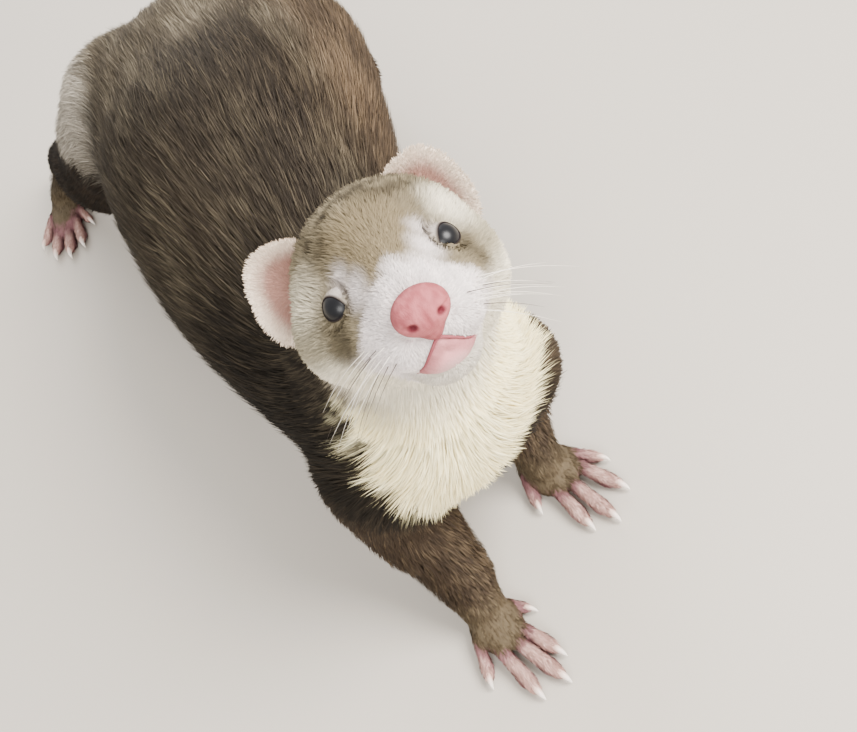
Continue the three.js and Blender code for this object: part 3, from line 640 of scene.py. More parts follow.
def repeated(pattern, count, each):
    """The faces of one tuft, over again for many tufts with a number of points each."""
    return (np.asarray(pattern)[None] + (np.arange(count) * each)[:, None, None]).reshape(-1, 3)


def tube(path, half_widths, sides=10, up=(0, 0, 1), squash=1.0):
    """A closed strand along a path, with a half width at each stop. Faces are triangles."""
    path = np.asarray(path, float)
    along = unit(np.gradient(path, axis=0))
    across = unit(np.cross(along, up))
    out = np.cross(across, along)
    angle = (np.arange(sides) * 2 * math.pi / sides)[None, :, None]
    ring = across[:, None] * np.cos(angle) + out[:, None] * np.sin(angle) * squash
    points = (path[:, None] + ring * np.asarray(half_widths, float)[:, None, None]).reshape(-1, 3)
    return np.vstack([points, path[:1], path[-1:]]), capped(len(path), sides)


def ball(radius, around, rings):
    """A ball with its poles along z, as triangles."""
    polar = np.linspace(0, math.pi, rings + 1)[1:-1, None]
    angle = np.arange(around)[None] * 2 * math.pi / around
    ring = [np.sin(polar) * np.cos(angle), np.sin(polar) * np.sin(angle), np.cos(polar) + 0 * angle]
    points = np.vstack([np.stack(ring, -1).reshape(-1, 3), [0, 0, 1], [0, 0, -1]])
    return points * radius, capped(rings - 1, around)


def curve_through(points, count):
    """More points on a smooth curve through a few."""
    points = np.asarray(points, float)
    rows = smooth_row(np.hstack([points, np.ones((len(points), 1))]), 8)[:, :3]
    return rows[np.linspace(0, len(rows) - 1, count).round().astype(int)]


# Colours.


def linear(hex_colour):
    """A screen colour, such as 6b5c4b, as linear light."""
    value = np.array([int(hex_colour[i : i + 2], 16) for i in (0, 2, 4)]) / 255
    return np.where(value <= 0.04045, value / 12.92, ((value + 0.055) / 1.055) ** 2.4)


# The pale hairs and the dark hairs of each marking. Some also paint light and shade: the lit left side, the
# shaded right hind leg, the dark low body and the skin between the toes.
HAIRS = {
    "back": ("50483a", "282119"),
    "saddle": ("443b2f", "221c16"),
    "rump": ("8a7e6a", "544b3d"),
    "lit_flank": ("6f5b45", "41352a"),
    "low": ("2c251c", "14110d"),
    "leg": ("544635", "34291f"),
    "shaded_thigh": ("281f16", "15100b"),
    "foot": ("685b46", "483c2c"),
    "toe": ("d2b0a4", "b28b80"),
    "cleft": ("80585a", "80585a"),
    "tail": ("5e4f3f", "2e251d"),
    "hip": ("b5ac9d", "7d766a"),
    "bib": ("fff6cb", "fff1bd"),
}
COLOURS = {
    "crown": "756a54",
    "crown_dark": "463e30",
    "forehead": "7a6c52",
    "mask": "423a2b",
    "muzzle": "dfd4d0",
    "chin": "c6bdaf",
    "cheek": "a29981",
    "jaw": "dcd2bb",
    "neck": "75664f",
    "ear_rim": "dfccb7",
    "ear_inside": "9c7568",
    "ear_hollow_shaded": "74524a",
    "nose": "ab6063",
    "nose_dark_and_groove_shade": "8a4549",
    "nostril": "5e222a",
    "lip": "c98889",
    "mouth": "8c4a50",
    "eye": "0d0d10",
    "lid": "171011",
    "claw_root": "d9b5a6",
    "claw_tip": "f3e9df",
    "whisker_dark": "3a2e26",
    "whisker_pale": "efe6d8",
}
HAIRS = {name: [linear(code) for code in pair] for name, pair in HAIRS.items()}
COLOURS = {name: linear(code) for name, code in COLOURS.items()}


def waves(p, size, seed, stretch=(1, 1, 1)):
    """Soft noise between about -1 and 1, with patches of one size."""
    rng = np.random.default_rng(seed)
    q = p / (np.asarray(stretch, float) * size)
    total = np.zeros(len(p))
    for _ in range(9):
        way = rng.normal(size=3)
        way *= rng.uniform(0.6, 1.7) * math.pi / np.linalg.norm(way)
        total += np.sin(q @ way + rng.uniform(0, 2 * math.pi))
    return total / 3


def mix(a, b, share):
    share = np.asarray(share)[:, None]
    return a * (1 - share) + b * share


def painted(base, count, *coats):
    """A plain colour at each place, under coats of others by their shares."""
    colour = np.tile(COLOURS[base], (count, 1))
    for name, share in coats:
        colour = mix(colour, COLOURS[name], share)
    return colour


def blot(q, at, radii, soft=0.45):
    """1 inside an egg-shaped patch and 0 outside, with a soft edge."""
    near = np.linalg.norm((q - np.asarray(at, float)) / np.asarray(radii, float), axis=1)
    return 1 - ease(1 - soft, 1 + soft, near)


def off_bib(p):
    """How far a place lies outside the bib, in millimetres; below zero it is inside."""
    heights = [45, 50, 62, 78, 92, 100, 104, 108, 112]
    right = np.interp(p[:, 2], heights, [-9, -13, -16.5, -19, -18.5, -17, -12, -6, -2])
    left = np.interp(p[:, 2], [45, 50, 60, 69, 73, 80, 95, 110], [-12, -8, -2, 6, 27, 31, 31, 27])
    sides = np.maximum(right - p[:, 0], p[:, 0] - left)
    behind = p[:, 1] - 20 - 0.3 * np.clip(p[:, 0], 0, 30) + 0.35 * (p[:, 2] - 80)
    return np.maximum(np.maximum(sides, behind), 46 - p[:, 2])


def markings(p, shares):
    """The coat's colour at each place, as a pair: the pale hairs and the dark ones."""
    q = to_head(p)
    pair = [np.tile(hair, (len(p), 1)) for hair in HAIRS["back"]]

    def paint(name, share):
        pair[:] = [mix(below, hair, share) for below, hair in zip(pair, HAIRS[name])]

    patches = 0.5 * waves(p, 16, 41, (1, 2, 1))
    rump = np.maximum(ease(116, 150, p[:, 1]) * 0.5, blot(p, (25, 124, 100), (14, 27, 14), 0.7))
    rump = np.maximum(rump, 0.75 * blot(p, (-4, 146, 111), (15, 15, 10), 0.8))
    paint("rump", np.clip(rump + 0.4 * rump * patches, 0, 1))
    # Painted light: the ferret's left side, toward the key lamp, is painted paler and warmer.
    paint("lit_flank", ease(2, 24, p[:, 0] + 8 * patches) * ease(48, 80, p[:, 2]) * 0.9)
    saddle = blot(p, (1, 98, 116), (18, 26, 12), 0.9) + 0.9 * blot(p, (-13, 68, 112), (18, 24, 14), 0.9)
    paint("saddle", np.clip(saddle * (0.75 + 0.5 * patches), 0, 0.85))
    # A darker underside, partly its dark fur and partly painted shade under the body: darker toward the
    # floor, starting lower on the lit left side, and darker again at the front of the unlit right side.
    paint("low", ease(99, 66, p[:, 2] + 10 * patches + 18 * ease(0, 30, p[:, 0])))
    paint("low", ease(60, 34, p[:, 1]) * ease(-6, -26, p[:, 0]) * 0.75)
    paint("leg", shares[:, 2:6].sum(1) * ease(74, 50, p[:, 2]))
    # Painted shadow over dark brown fur: the upper right hind leg is painted darker than the other legs.
    paint("shaded_thigh", shares[:, 4] * ease(76, 60, p[:, 2]))
    feet = np.clip(shares[:, 7:11].sum(1) + ease(20, 9, p[:, 2]) * shares[:, 2:6].sum(1), 0, 1)
    paint("foot", feet)
    toe, cleft = on_toes(p)
    # Painted shade: the skin between the toes is painted dark mauve near the floor.
    paint("cleft", cleft * ease(9, 6, p[:, 2]))
    paint("toe", toe * ease(1.2, 3.4, p[:, 2]))
    paint("tail", shares[:, 6] * ease(214, 262, p[:, 1]))
    ragged = 1.8 * waves(p, 5, 5, (1, 1, 2.5)) + 1.3 * waves(p, 2.4, 6, (1, 1, 2.5))
    strewn = p + ragged[:, None] * (0, 1.8, 1.2)
    hip = blot(strewn, (-57, 184, 86), (18, 27, 16.5), 0.35) * ease(-34, -45, p[:, 0] + 2 * ragged)
    paint("hip", np.clip(hip * 1.4, 0, 1))
    front = np.clip(shares[:, 0] + shares[:, 1] + shares[:, 2:4].sum(1) * ease(56, 70, p[:, 2]), 0, 1)
    paint("bib", ease(2.2, -2.2, off_bib(p) + ragged) * front)
    head = ease(0.15, 0.7, shares[:, -1] + 0.5 * ease(30, 16, q[:, 1]))
    return [mix(below, hair, head) for below, hair in zip(pair, face_marks(q))]


def face_marks(q):
    """The face's pale and dark hairs: a mottled crown, pale brows and cheeks, a soft mask."""
    wide = np.abs(q[:, 0])
    mottled = 0.5 * waves(q, 4.2, 9) + 0.35 * waves(q, 2.0, 10)
    top = ease(5, 11, q[:, 2]) * ease(-6, 0, q[:, 1]) * ease(17, 11, wide)
    forehead = ease(11, 4, wide) * ease(6, -2, q[:, 1]) * ease(-21, -12, q[:, 1]) * ease(-2, 3, q[:, 2])
    mask = np.zeros(len(q))
    # The mask is a marking on both cheeks. It is painted weaker on the ferret's left as painted light, where
    # the key lamp falls.
    for side, strong in ((-1, 1.0), (1, 0.6)):
        mask = np.maximum(mask, strong * blot(q, (side * 16.2, -6.4, -6.2), (4.2, 4.6, 4.4), 0.75))
        mask = np.maximum(mask, 0.55 * strong * blot(q, (side * 17.5, -2.0, -2.0), (3.6, 4.6, 4.4), 0.8))
    slope = q[:, 1] + 0.55 * wide + 0.5 * q[:, 2] + 4.0 * ease(8, 2.5, wide) + 1.2 * mottled
    muzzle = ease(-7.0, -12.0, slope) + ease(-8, -14, q[:, 2]) * ease(-4, -10, q[:, 1])
    coats = [
        ("crown_dark", np.clip(top * (0.45 + 1.1 * mottled), 0, 1)),
        ("forehead", forehead * 0.85),
        ("cheek", ease(15, 19, wide) * ease(-8, 0, q[:, 1]) * 0.7),
        ("jaw", ease(-7, -13, q[:, 2] - 0.16 * (wide - 12))),
        ("mask", mask * (0.85 + 0.3 * mottled).clip(0, 1)),
        ("muzzle", np.clip(muzzle, 0, 1)),
    ]
    for side, cream in ((-1, 0.4), (1, 0.95)):
        brow = blot(q, (side * 9.8, -4.2, 4.6), (3.4, 3.2, 2.6), 0.8)
        inner = blot(q, (side * 8.2, -9.6, 1.6), (3.4, 4.6, 3.2), 0.8)
        coats.append(("jaw", blot(q, (side * 17.5, 6.0, 4.5), (6.0, 7.0, 6.0), 0.6) * cream))
        coats.append(("muzzle", np.maximum(brow * 0.8, inner)))
    coats.append(("chin", ease(-15, -19, q[:, 2]) * ease(-4, -12, q[:, 1])))
    coats.append(("neck", ease(14, 26, q[:, 1]) * ease(-6, -14, q[:, 0]) * ease(2, -6, q[:, 2]) * 0.85))
    colour = painted("crown", len(q), *coats)
    return colour * 1.15, colour * 0.88


# Materials.


def new_node(nodes, kind, values=None, **settings):
    """A shader node with its settings and the values of its sockets."""
    made = nodes.new(kind)
    for name, value in settings.items():
        setattr(made, name, value)
    for socket, value in (values or {}).items():
        made.inputs[socket].default_value = value
    return made


def hair_grain():
    """Varies a colour by small, long streaks and puts out their height."""
    if "Hair grain" in bpy.data.node_groups:
        return bpy.data.node_groups["Hair grain"]
    group = bpy.data.node_groups.new("Hair grain", "ShaderNodeTree")
    for name, kind, value in (
        ("Color", "NodeSocketColor", (0.5, 0.5, 0.5, 1)),
        ("Streaks per metre", "NodeSocketFloat", 900.0),
        ("Contrast", "NodeSocketFloat", 0.2),
    ):
        group.interface.new_socket(name=name, in_out="INPUT", socket_type=kind).default_value = value
    for name, kind in (("Color", "NodeSocketColor"), ("Height", "NodeSocketFloat")):
        group.interface.new_socket(name=name, in_out="OUTPUT", socket_type=kind)
    nodes, link = group.nodes, group.links.new
    given, out = nodes.new("NodeGroupInput"), nodes.new("NodeGroupOutput")
    place = nodes.new("ShaderNodeTexCoord")
    stretch = new_node(nodes, "ShaderNodeVectorMath", {1: (1.0, 0.3, 1.0)}, operation="MULTIPLY")
    noise = new_node(nodes, "ShaderNodeTexNoise", {"Detail": 3.0})
    swing = new_node(nodes, "ShaderNodeMath", {1: 0.5}, operation="SUBTRACT")
    amount = new_node(nodes, "ShaderNodeMath", {2: 1.0}, operation="MULTIPLY_ADD")
    tint = new_node(nodes, "ShaderNodeVectorMath", operation="SCALE")
    link(place.outputs["Object"], stretch.inputs[0])
    link(stretch.outputs[0], noise.inputs["Vector"])
    link(given.outputs["Streaks per metre"], noise.inputs["Scale"])
    link(noise.outputs["Fac"], swing.inputs[0])
    link(swing.outputs[0], amount.inputs[0])
    link(given.outputs["Contrast"], amount.inputs[1])
    link(given.outputs["Color"], tint.inputs[0])
    link(amount.outputs[0], tint.inputs["Scale"])
    link(tint.outputs[0], out.inputs["Color"])
    link(noise.outputs["Fac"], out.inputs["Height"])
    return group


# Each material's roughness, specular level, streaks to the metre, their contrast, and its bump.
KINDS = {
    "Under skin": (0.8, 0.2, 700, 0.5, 0.6),
    "Coat": (0.7, 0.12, 260, 0.25, 0),
    "Moist skin": (0.6, 0.12, 2600, 0.16, 0.3),
    "Ear skin": (0.55, 0.35, 1200, 0.2, 0.25),
    "Eye": (0.33, 0.28, 300, 0.1, 0),
    "Lid": (0.6, 0.15, 2400, 0.3, 0.3),
    "Horn": (0.32, 0.5, 1500, 0.22, 0.2),
    "Whisker": (0.4, 0.5, 400, 0.2, 0),
}
BUMP_DEPTH = 0.0006


def finish(name):
    """A material whose colour is the mesh's own, varied by the hair grain. Each is made once."""
    if name in bpy.data.materials:
        return bpy.data.materials[name]
    roughness, specular, streaks, contrast, bump = KINDS[name]
    material = bpy.data.materials.new(name)
    material.use_nodes = True
    nodes, link = material.node_tree.nodes, material.node_tree.links.new
    shader = nodes["Principled BSDF"]
    shader.inputs["Roughness"].default_value = roughness
    shader.inputs["Specular IOR Level"].default_value = specular
    colour = new_node(nodes, "ShaderNodeAttribute", attribute_type="GEOMETRY", attribute_name="coat_colour")
    values = {"Streaks per metre": streaks, "Contrast": contrast}
    grain = new_node(nodes, "ShaderNodeGroup", values, node_tree=hair_grain())
    link(colour.outputs["Color"], grain.inputs["Color"])
    link(grain.outputs["Color"], shader.inputs["Base Color"])
    if bump:
        relief = new_node(nodes, "ShaderNodeBump", {"Strength": bump, "Distance": BUMP_DEPTH})
        link(grain.outputs["Height"], relief.inputs["Height"])
        link(relief.outputs["Normal"], shader.inputs["Normal"])
    return material


# The coat.

# How deep roots sit in the skin, the lowest that tufts and skin reach over the floor, and half
# the width of a tuft's patch on the unwrap.
ROOT_DEPTH, TUFT_FLOOR, SKIN_FLOOR, PATCH = 0.25, 0.12, 0.15, 0.0015
BODY_CELL, FOOT_CELL, FACE_CELL = 1.3, 0.5, 0.3


def scattered(points, faces, per_area, rng):
    """Roots spread over a mesh, so many to the square millimetre at each place."""
    triangles = np.concatenate([faces[:, [0, 1, 2]], faces[:, [0, 2, 3]]])
    corner = points[triangles]
    normal = np.cross(corner[:, 1] - corner[:, 0], corner[:, 2] - corner[:, 0])
    area = np.linalg.norm(normal, axis=1) / 2
    want = area * per_area(corner.mean(1))
    total = int(want.sum())
    spots = (np.arange(total) + rng.random(total)) / total * want.sum()
    chosen = np.minimum(np.searchsorted(np.cumsum(want), spots), len(want) - 1)
    a, b = rng.random(total), rng.random(total)
    over = a + b > 1
    a[over], b[over] = 1 - a[over], 1 - b[over]
    start, second, third = corner[chosen].transpose(1, 0, 2)
    return start + a[:, None] * (second - start) + b[:, None] * (third - start)


def patch_of(p, distances):
    """A place on a flat unwrap of the skin: a chart for each part, by angle and by length."""
    nearest = distances.argmin(1)
    uv = np.zeros((len(p), 2))
    columns = 4
    for k, name in enumerate(PARTS):
        here = nearest == k
        if not here.any():
            continue
        q = p[here]
        if name == "head":
            q = to_head(q)
            low, high, middle = -28, 46, q[:, [0, 2]] - (0, -6)
            along = q[:, 1]
        elif name in ("trunk", "neck"):
            low, high = (-15, 212)
            along = q[:, 1]
            middle = q[:, [0, 2]] - (-10, 74)
        elif name == "tail":
            low, high, along = 190, 356, q[:, 1]
            line = TAIL_ROW[np.abs(TAIL_ROW[:, 1][None] - q[:, 1:2]).argmin(1)]
            middle = q[:, [0, 2]] - line[:, [0, 2]]
        else:
            rows = LIMB_ROWS[name.replace("foot_", "")]
            near = np.linalg.norm(rows[None, :, :3] - q[:, None], axis=2).argmin(1)
            low, high, along = 0, 80, 80 - q[:, 2]
            middle = q[:, :2] - rows[near][:, :2]
        angle = np.arctan2(middle[:, 1], middle[:, 0]) / (2 * math.pi) + 0.5
        length = np.clip((along - low) / (high - low), 0, 1)
        column, line_no = k % columns, k // columns
        uv[here, 0] = (column + 0.03 + 0.94 * angle) / columns
        uv[here, 1] = (line_no + 0.03 + 0.94 * length) / 3
    return uv


def locks_of(roots, lie, outward, each, rng):
    """Gathers the roots into locks: the lock of each root, and how far off its middle line it is."""
    count = max(int(len(roots) / each), 1)
    middles = roots[rng.choice(len(roots), count, replace=False)]
    tree = KDTree(count)
    for i, place in enumerate(middles.tolist()):
        tree.insert(place, i)
    tree.balance()
    lock = np.fromiter((tree.find(place)[1] for place in roots.tolist()), int, len(roots))
    return lock, ((middles[lock] - roots) * unit(np.cross(outward, lie), NO_LENGTH)).sum(1)


def tufts(grid, roots, lie, length, width, height, sway, roll, shades, patch):
    """Tapered strands that lie along the body: points, faces, colours and patches.

    Each has a pair of points at every shade but the last, which colours its tip.
    """
    count, rings = len(roots), len(shades) - 1
    place, way = roots.copy(), lie.copy()
    steps = np.linspace(0, 1, rings + 1)
    swell = [0.8, 1.0, 0.7][:rings]
    points, colours, patches = [], [], []
    for k, step in enumerate(steps):
        outward = grid.outward(place)
        way = unit(way - (way * outward).sum(1)[:, None] * outward, NO_LENGTH)
        side = np.cross(outward, way)
        if k:
            run = step - steps[k - 1]
            place = place + way * (length * run)[:, None] + side * (sway * run)[:, None]
            outward = grid.outward(place)
        lifted = height * (1 - (1 - step) ** 1.8) - ROOT_DEPTH
        place = place + outward * (lifted - grid.at(place))[:, None]
        if k == rings:
            points.append(place)
            colours.append(shades[k])
            patches.append(patch + np.array([0, PATCH]))
            continue
        half = (width * swell[k] / 2)[:, None]
        edge = (side * np.cos(roll)[:, None] + outward * np.sin(roll)[:, None]) * half
        points += [place - edge, place + edge]
        colours += [shades[k], shades[k]]
        for across in (-1, 1):
            patches.append(patch + np.array([across * PATCH, (step - 0.5) * 2 * PATCH]))
    each = rings * 2 + 1
    faces = []
    for a in range(0, 2 * rings - 2, 2):
        faces += [(a, a + 3, a + 1), (a, a + 2, a + 3)]
    faces.append((each - 3, each - 1, each - 2))
    points, colours, patches = (np.stack(k, 1).reshape(count * each, -1) for k in (points, colours, patches))
    return points, repeated(faces, count, each), colours, patches


def short_hairs(root, way, length, out, half):
    """Hairs of three triangles each that lie close over a surface."""
    edge = unit(np.cross(way, out)) * half
    mid = root + way * length * 0.5 + out * 0.16
    tip = root + way * length + out * 0.05
    points = np.stack([root - edge, root + edge, mid - edge, mid + edge, tip], 1)
    return points.reshape(-1, 3), repeated([(0, 3, 1), (0, 2, 3), (2, 4, 3)], len(root), 5)


def short_coat(name, points, faces, shade, patch):
    """A piece of short hairs in the head's own frame, with a shade and a patch for each hair."""
    offset = np.array([(-1, -1), (1, -1), (-1, 0), (1, 0), (0, 1)]) * PATCH
    patches = (patch[:, None] + offset[None]).reshape(-1, 2)
    made = mesh_of(name, placed(from_head(points)), faces, np.repeat(shade, len(offset), axis=0), patches)
    dressed(made, "Coat")


SKIN = {}


def the_skin():
    """The bare skin as pieces, each with its grid, points and quads: the body, then the feet."""
    if not SKIN:
        SKIN["body"] = skin_piece(bare, (-116, -56, -5), (66, 366, 156), BODY_CELL)
        for name, foot in FEET.items():
            ahead, reach = (14, 27) if name.startswith("fore") else (22, 29)
            middle = np.array(foot[0]) + np.array(from_foot(0, -1, foot)) * ahead
            low, high = (*(middle - reach), -1), (*(middle + reach), 15)

            def foot_only(p, foot=foot):
                return foot_form(p, foot) + COAT_DEPTH["foot"] * ease(0, 5, p[:, 2])

            SKIN[name] = skin_piece(foot_only, low, high, FOOT_CELL)
    return SKIN


def skin_piece(form, low, high, cell):
    """The surface of a form with its grid, its points drawn closer to where the form is zero."""
    grid = DistanceGrid(form, low, high, cell)
    points, quads = grid.surface()
    for _ in range(2):
        points = points - grid.outward(points) * grid.at(points)[:, None] * 0.9
    points[:, 2] = np.maximum(points[:, 2], SKIN_FLOOR)
    return grid, points, quads


FLESH = ["head", "neck", "chest", "belly", "hips", "tail_root", "tail_tip"]
FLESH += ["foreleg_right", "foreleg_left", "hindleg_right", "hindleg_left"]
FLESH += [f"foot_{side}_{end}" for side in ("right", "left") for end in ("fore", "hind")]


# Settings.

LOOK_DOWN, LOOK_ROLL, FLOOR_COLOUR = math.radians(52), math.radians(32), (0.5, 0.452, 0.39)


class FerretCoatSettings(bpy.types.PropertyGroup):
    """Sizes of the coat."""

    density: FloatProperty(name="Density", description="How many tufts grow", default=1, min=0.05, max=1.2)
    length: FloatProperty(name="Length", description="Share of the usual length", default=1, min=0.3, max=2)
    seed: IntProperty(name="Seed", description="Changes where each tuft falls", default=7)


class FerretStageSettings(bpy.types.PropertyGroup):
    """The camera, the floor and the light."""

    lens: FloatProperty(name="Lens", description="Focal length in millimetres", default=46.2)
    tilt: FloatProperty(name="Tilt", description="Of the view, downward", default=LOOK_DOWN, subtype="ANGLE")
    roll: FloatProperty(name="Roll", description="Turn of the view", default=LOOK_ROLL, subtype="ANGLE")
    floor: FloatVectorProperty(name="Floor", description="Its colour", default=FLOOR_COLOUR, subtype="COLOR")
    key: FloatProperty(name="Key light", description="Power of the main lamp in watts", default=32)
    sky: FloatProperty(name="Sky", description="Strength of the even light all round", default=1.15)


# Operators.


class FERRET_OT_skin(bpy.types.Operator):
    """Make the skin that all the coat grows from"""

    bl_idname = "ferret.skin"
    bl_label = "Skin"

    def execute(self, context):
        points, quads, base = [], [], 0
        for _, some, corners in the_skin().values():
            points.append(some)
            quads.append(corners + base)
            base += len(some)
        points, quads = np.concatenate(points), np.concatenate(quads)
        under, guard = markings(points, shares_of(parts_of(points)))
        # The skin takes 0.4 of the pale hairs' colour and 0.45 of the dark ones', dimmed a little as painted
        # shade under the coat.
        made = mesh_of("skin", placed(points), quads, under * 0.4 + guard * 0.45)
        dressed(made, "Under skin")
        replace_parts(made, *FLESH)
        return {"FINISHED"}


# For each region: tufts to the square millimetre, their length, width and rings, how many make
# a lock, how closely its tips meet, how much the locks turn, how much their tone varies, how
# light the roots are against the tips as painted shade deep in the coat, how much of the coat's
# depth the tips rise through, the least depth, and how far the tufts roll to a side.
REGIONS = {
    "back": dict(
        parts=["trunk"], slot="back_coat", per_area=5.0, length=17.0, width=0.3, rings=2, lock=4,
        draw=0.45, turn=0.06, tone=0.1, root=0.68, rise=(0.3, 1.0), least=0.4, roll=0.25,
    ),
    "bib": dict(
        parts=["neck"], slot="bib_coat", per_area=7.5, length=5.5, width=0.42, rings=2, lock=4,
        draw=0.15, turn=0.05, tone=0.015, root=0.94, rise=(0.7, 1.0), least=0.4, roll=0.12,
    ),
    "legs": dict(
        parts=["fore", "hind"], slot="dark_coat", per_area=4.2, length=5.0, width=0.3, rings=2, lock=4,
        draw=0.3, turn=0.08, tone=0.07, root=0.75, rise=(0.45, 1.0), least=0.45, roll=0.2,
    ),
    "tail": dict(
        parts=["tail"], slot="dark_coat", per_area=2.1, length=18.0, width=0.5, rings=3, lock=6,
        draw=0.5, turn=0.12, tone=0.12, root=0.6, rise=(0.3, 1.0), least=0.4, roll=0.25,
    ),
    "feet": dict(
        parts=["foot"], slot="dark_coat", per_area=7.0, length=2.8, width=0.26, rings=2, lock=4,
        draw=0.25, turn=0.14, tone=0.12, root=0.85, rise=(0.4, 1.0), least=0.8, roll=0.2,
    ),
    "face": dict(
        parts=["head"], slot="face_coat", per_area=14.5, length=3.4, width=0.24, rings=2, lock=5,
        draw=0.3, turn=0.12, tone=0.03, root=0.87, rise=(0.55, 1.0), least=0.35, roll=0.15,
    ),
}
PIECE_TRIANGLES = 190000


class FERRET_OT_coat(bpy.types.Operator):
    """Grow the coat in tufts that lie along the body"""

    bl_idname = "ferret.coat"
    bl_label = "Coat"

    def execute(self, context):
        settings = context.scene.ferret_coat
        rng = np.random.default_rng(settings.seed)
        part_kind = np.array([name.split("_")[0] for name in PARTS])
        made = {name: [] for name in REGIONS}
        for piece, (grid, points, quads) in the_skin().items():
            kinds = part_kind[parts_of(points[quads].mean(1)).argmin(1)]
            if piece != "body":
                kinds[:] = "foot"
            for name, region in REGIONS.items():
                if (name == "feet") == (piece == "body"):
                    continue
                chosen = quads[np.isin(kinds, region["parts"])]
                if name == "feet":
                    shown = joined(parts_of(points[chosen].mean(1))) > -1.5
                    chosen = chosen[shown]
                density = region["per_area"] * settings.density

                def per_area(place, density=density, name=name):
                    return density * tufts_wanted(place, name)

                roots = scattered(points, chosen, per_area, rng)
                made[name].append(self.grown(name, region, grid, roots, settings.length, rng))
        for name, region in REGIONS.items():
            self.split(name, region, made[name])
        return {"FINISHED"}

    @staticmethod
    def grown(name, region, grid, roots, length_setting, rng):
        """The tufts of a region, gathered into locks that share a tone, a turn and a length."""
        count = len(roots)
        distances, ways = parts_of(roots, with_way=True)
        shares = shares_of(distances)
        lie = (ways * shares_of(distances, 5.0)[:, :, None]).sum(1)
        outward = grid.outward(roots)
        if name == "face":
            lie = around_eyes(roots, lie)
        lock, aside = locks_of(roots, lie, outward, region["lock"], rng)
        own = rng.normal(size=(lock.max() + 1, 4))
        lift, turn, grow, tone = own[lock].T
        side = np.cross(outward, lie)
        stray = region["turn"] * (turn + 1.1 * waves(roots, 9, 21) + 0.8 * waves(roots, 4, 22))
        lie = lie + side * (stray + 0.05 * rng.normal(size=count))[:, None]
        length = region["length"] * length_setting * rng.uniform(0.7, 1.1, count)
        length *= (1 + 0.12 * grow).clip(0.7, 1.3)
        length *= length_share(roots, name)
        width = region["width"] * rng.uniform(0.7, 1.2, count)
        raised = (rng.uniform(*region["rise"], count) + 0.1 * lift).clip(0.15, 1.15)
        height = np.maximum(coat_depth(roots, shares) + 0.1, region["least"]) * raised
        under, guard = markings(roots, shares)
        streak = waves(roots, 1.6, 31, (1, 9, 1)) + 0.8 * waves(roots, 4, 33, (1, 6, 1))
        streak += 0.6 * waves(roots, 13, 32, (1, 2.2, 1))
        pale = ease(-0.3, 2.1, 0.4 * tone + 0.45 * streak + 0.6 * rng.normal(size=count) + 0.3)
        varied = 1 + region["tone"] * (0.5 * tone + 0.6 * rng.normal(size=count))
        shown = mix(guard, under, pale) * varied.clip(0.6, 1.4)[:, None]
        # Painted shade: each tuft darkens from tip to root, where the rest of the coat would shade it.
        shades = [shown * share for share in np.linspace(region["root"], 1, region["rings"] + 1) ** 0.7]
        sway = aside * region["draw"]
        roll = rng.normal(size=count) * region["roll"]
        patch = patch_of(roots, distances)
        return tufts(grid, roots, lie, length, width, height, sway, roll, shades, patch)

    @staticmethod
    def split(name, region, made):
        """Parts a region's tufts into pieces, each under the limit of triangles."""
        each_points, each_faces = region["rings"] * 2 + 1, region["rings"] * 2 - 1
        points, colours, patches = (np.concatenate([some[i] for some in made]) for i in (0, 2, 3))
        count = len(points) // each_points
        faces = repeated(made[0][1][:each_faces], count, each_points)
        pieces = math.ceil(count / (PIECE_TRIANGLES // each_faces))
        order = np.linspace(0, count, pieces + 1).astype(int)
        for i, (start, end) in enumerate(zip(order[:-1], order[1:])):
            p = slice(start * each_points, end * each_points)
            f = faces[start * each_faces : end * each_faces] - start * each_points
            place = points[p]
            place[:, 2] = np.maximum(place[:, 2], TUFT_FLOOR)
            piece = mesh_of(f"coat_{name}_{i + 1}", placed(place), f, colours[p], patches[p])
            dressed(piece, "Coat")


def around_eyes(p, lie):
    """Turns the way of the hair outward round each eye."""
    q = to_head(p)
    for at, gaze in EYES.values():
        _, aside = from_sight(q, at, gaze)
        close = ease(6.5, 3.2, np.linalg.norm(aside, axis=1)) * (np.linalg.norm(q - at, axis=1) < 9)
        lie = mix(lie, unit(aside, NO_LENGTH) @ HEAD_TURN.T, close)
    return lie


def tufts_wanted(p, region):
    """Thins the tufts where a coat is bare or another piece stands."""
    want = np.ones(len(p))
    if region == "face":
        q = to_head(p)
        nose = np.linalg.norm((q - NOSE_AT) / (np.array(NOSE_RADII) + 0.3), axis=1)
        want *= nose > 0.95
        on_lip = (lip_form(q) < 0.5) & (np.abs(q[:, 0]) < 5.2) & (q[:, 1] < LIP_AT[1] + 4)
        want *= np.where(on_lip, down_lip(q, -18.6, -20.6), 1)
        by_line = (lip_form(q) < 1.1) & (np.abs(q[:, 0]) < 4.6) & (q[:, 1] < LIP_AT[1]) & (q[:, 2] > -17)
        want *= ~by_line
        for at, gaze in EYES.values():
            ahead, aside = from_sight(q, at, gaze)
            want *= ~((np.linalg.norm(aside, axis=1) < EYE_APERTURE + 0.5) & (ahead > 0))
        want *= 0.8 + 0.5 * ease(10, -12, q[:, 1])
    if region in ("back", "legs"):
        want *= 0.4 + 0.6 * ease(36, 52, p[:, 2] + 40 * (p[:, 1] < 20) + 30 * (np.abs(p[:, 0] + 10) > 34))
    return want


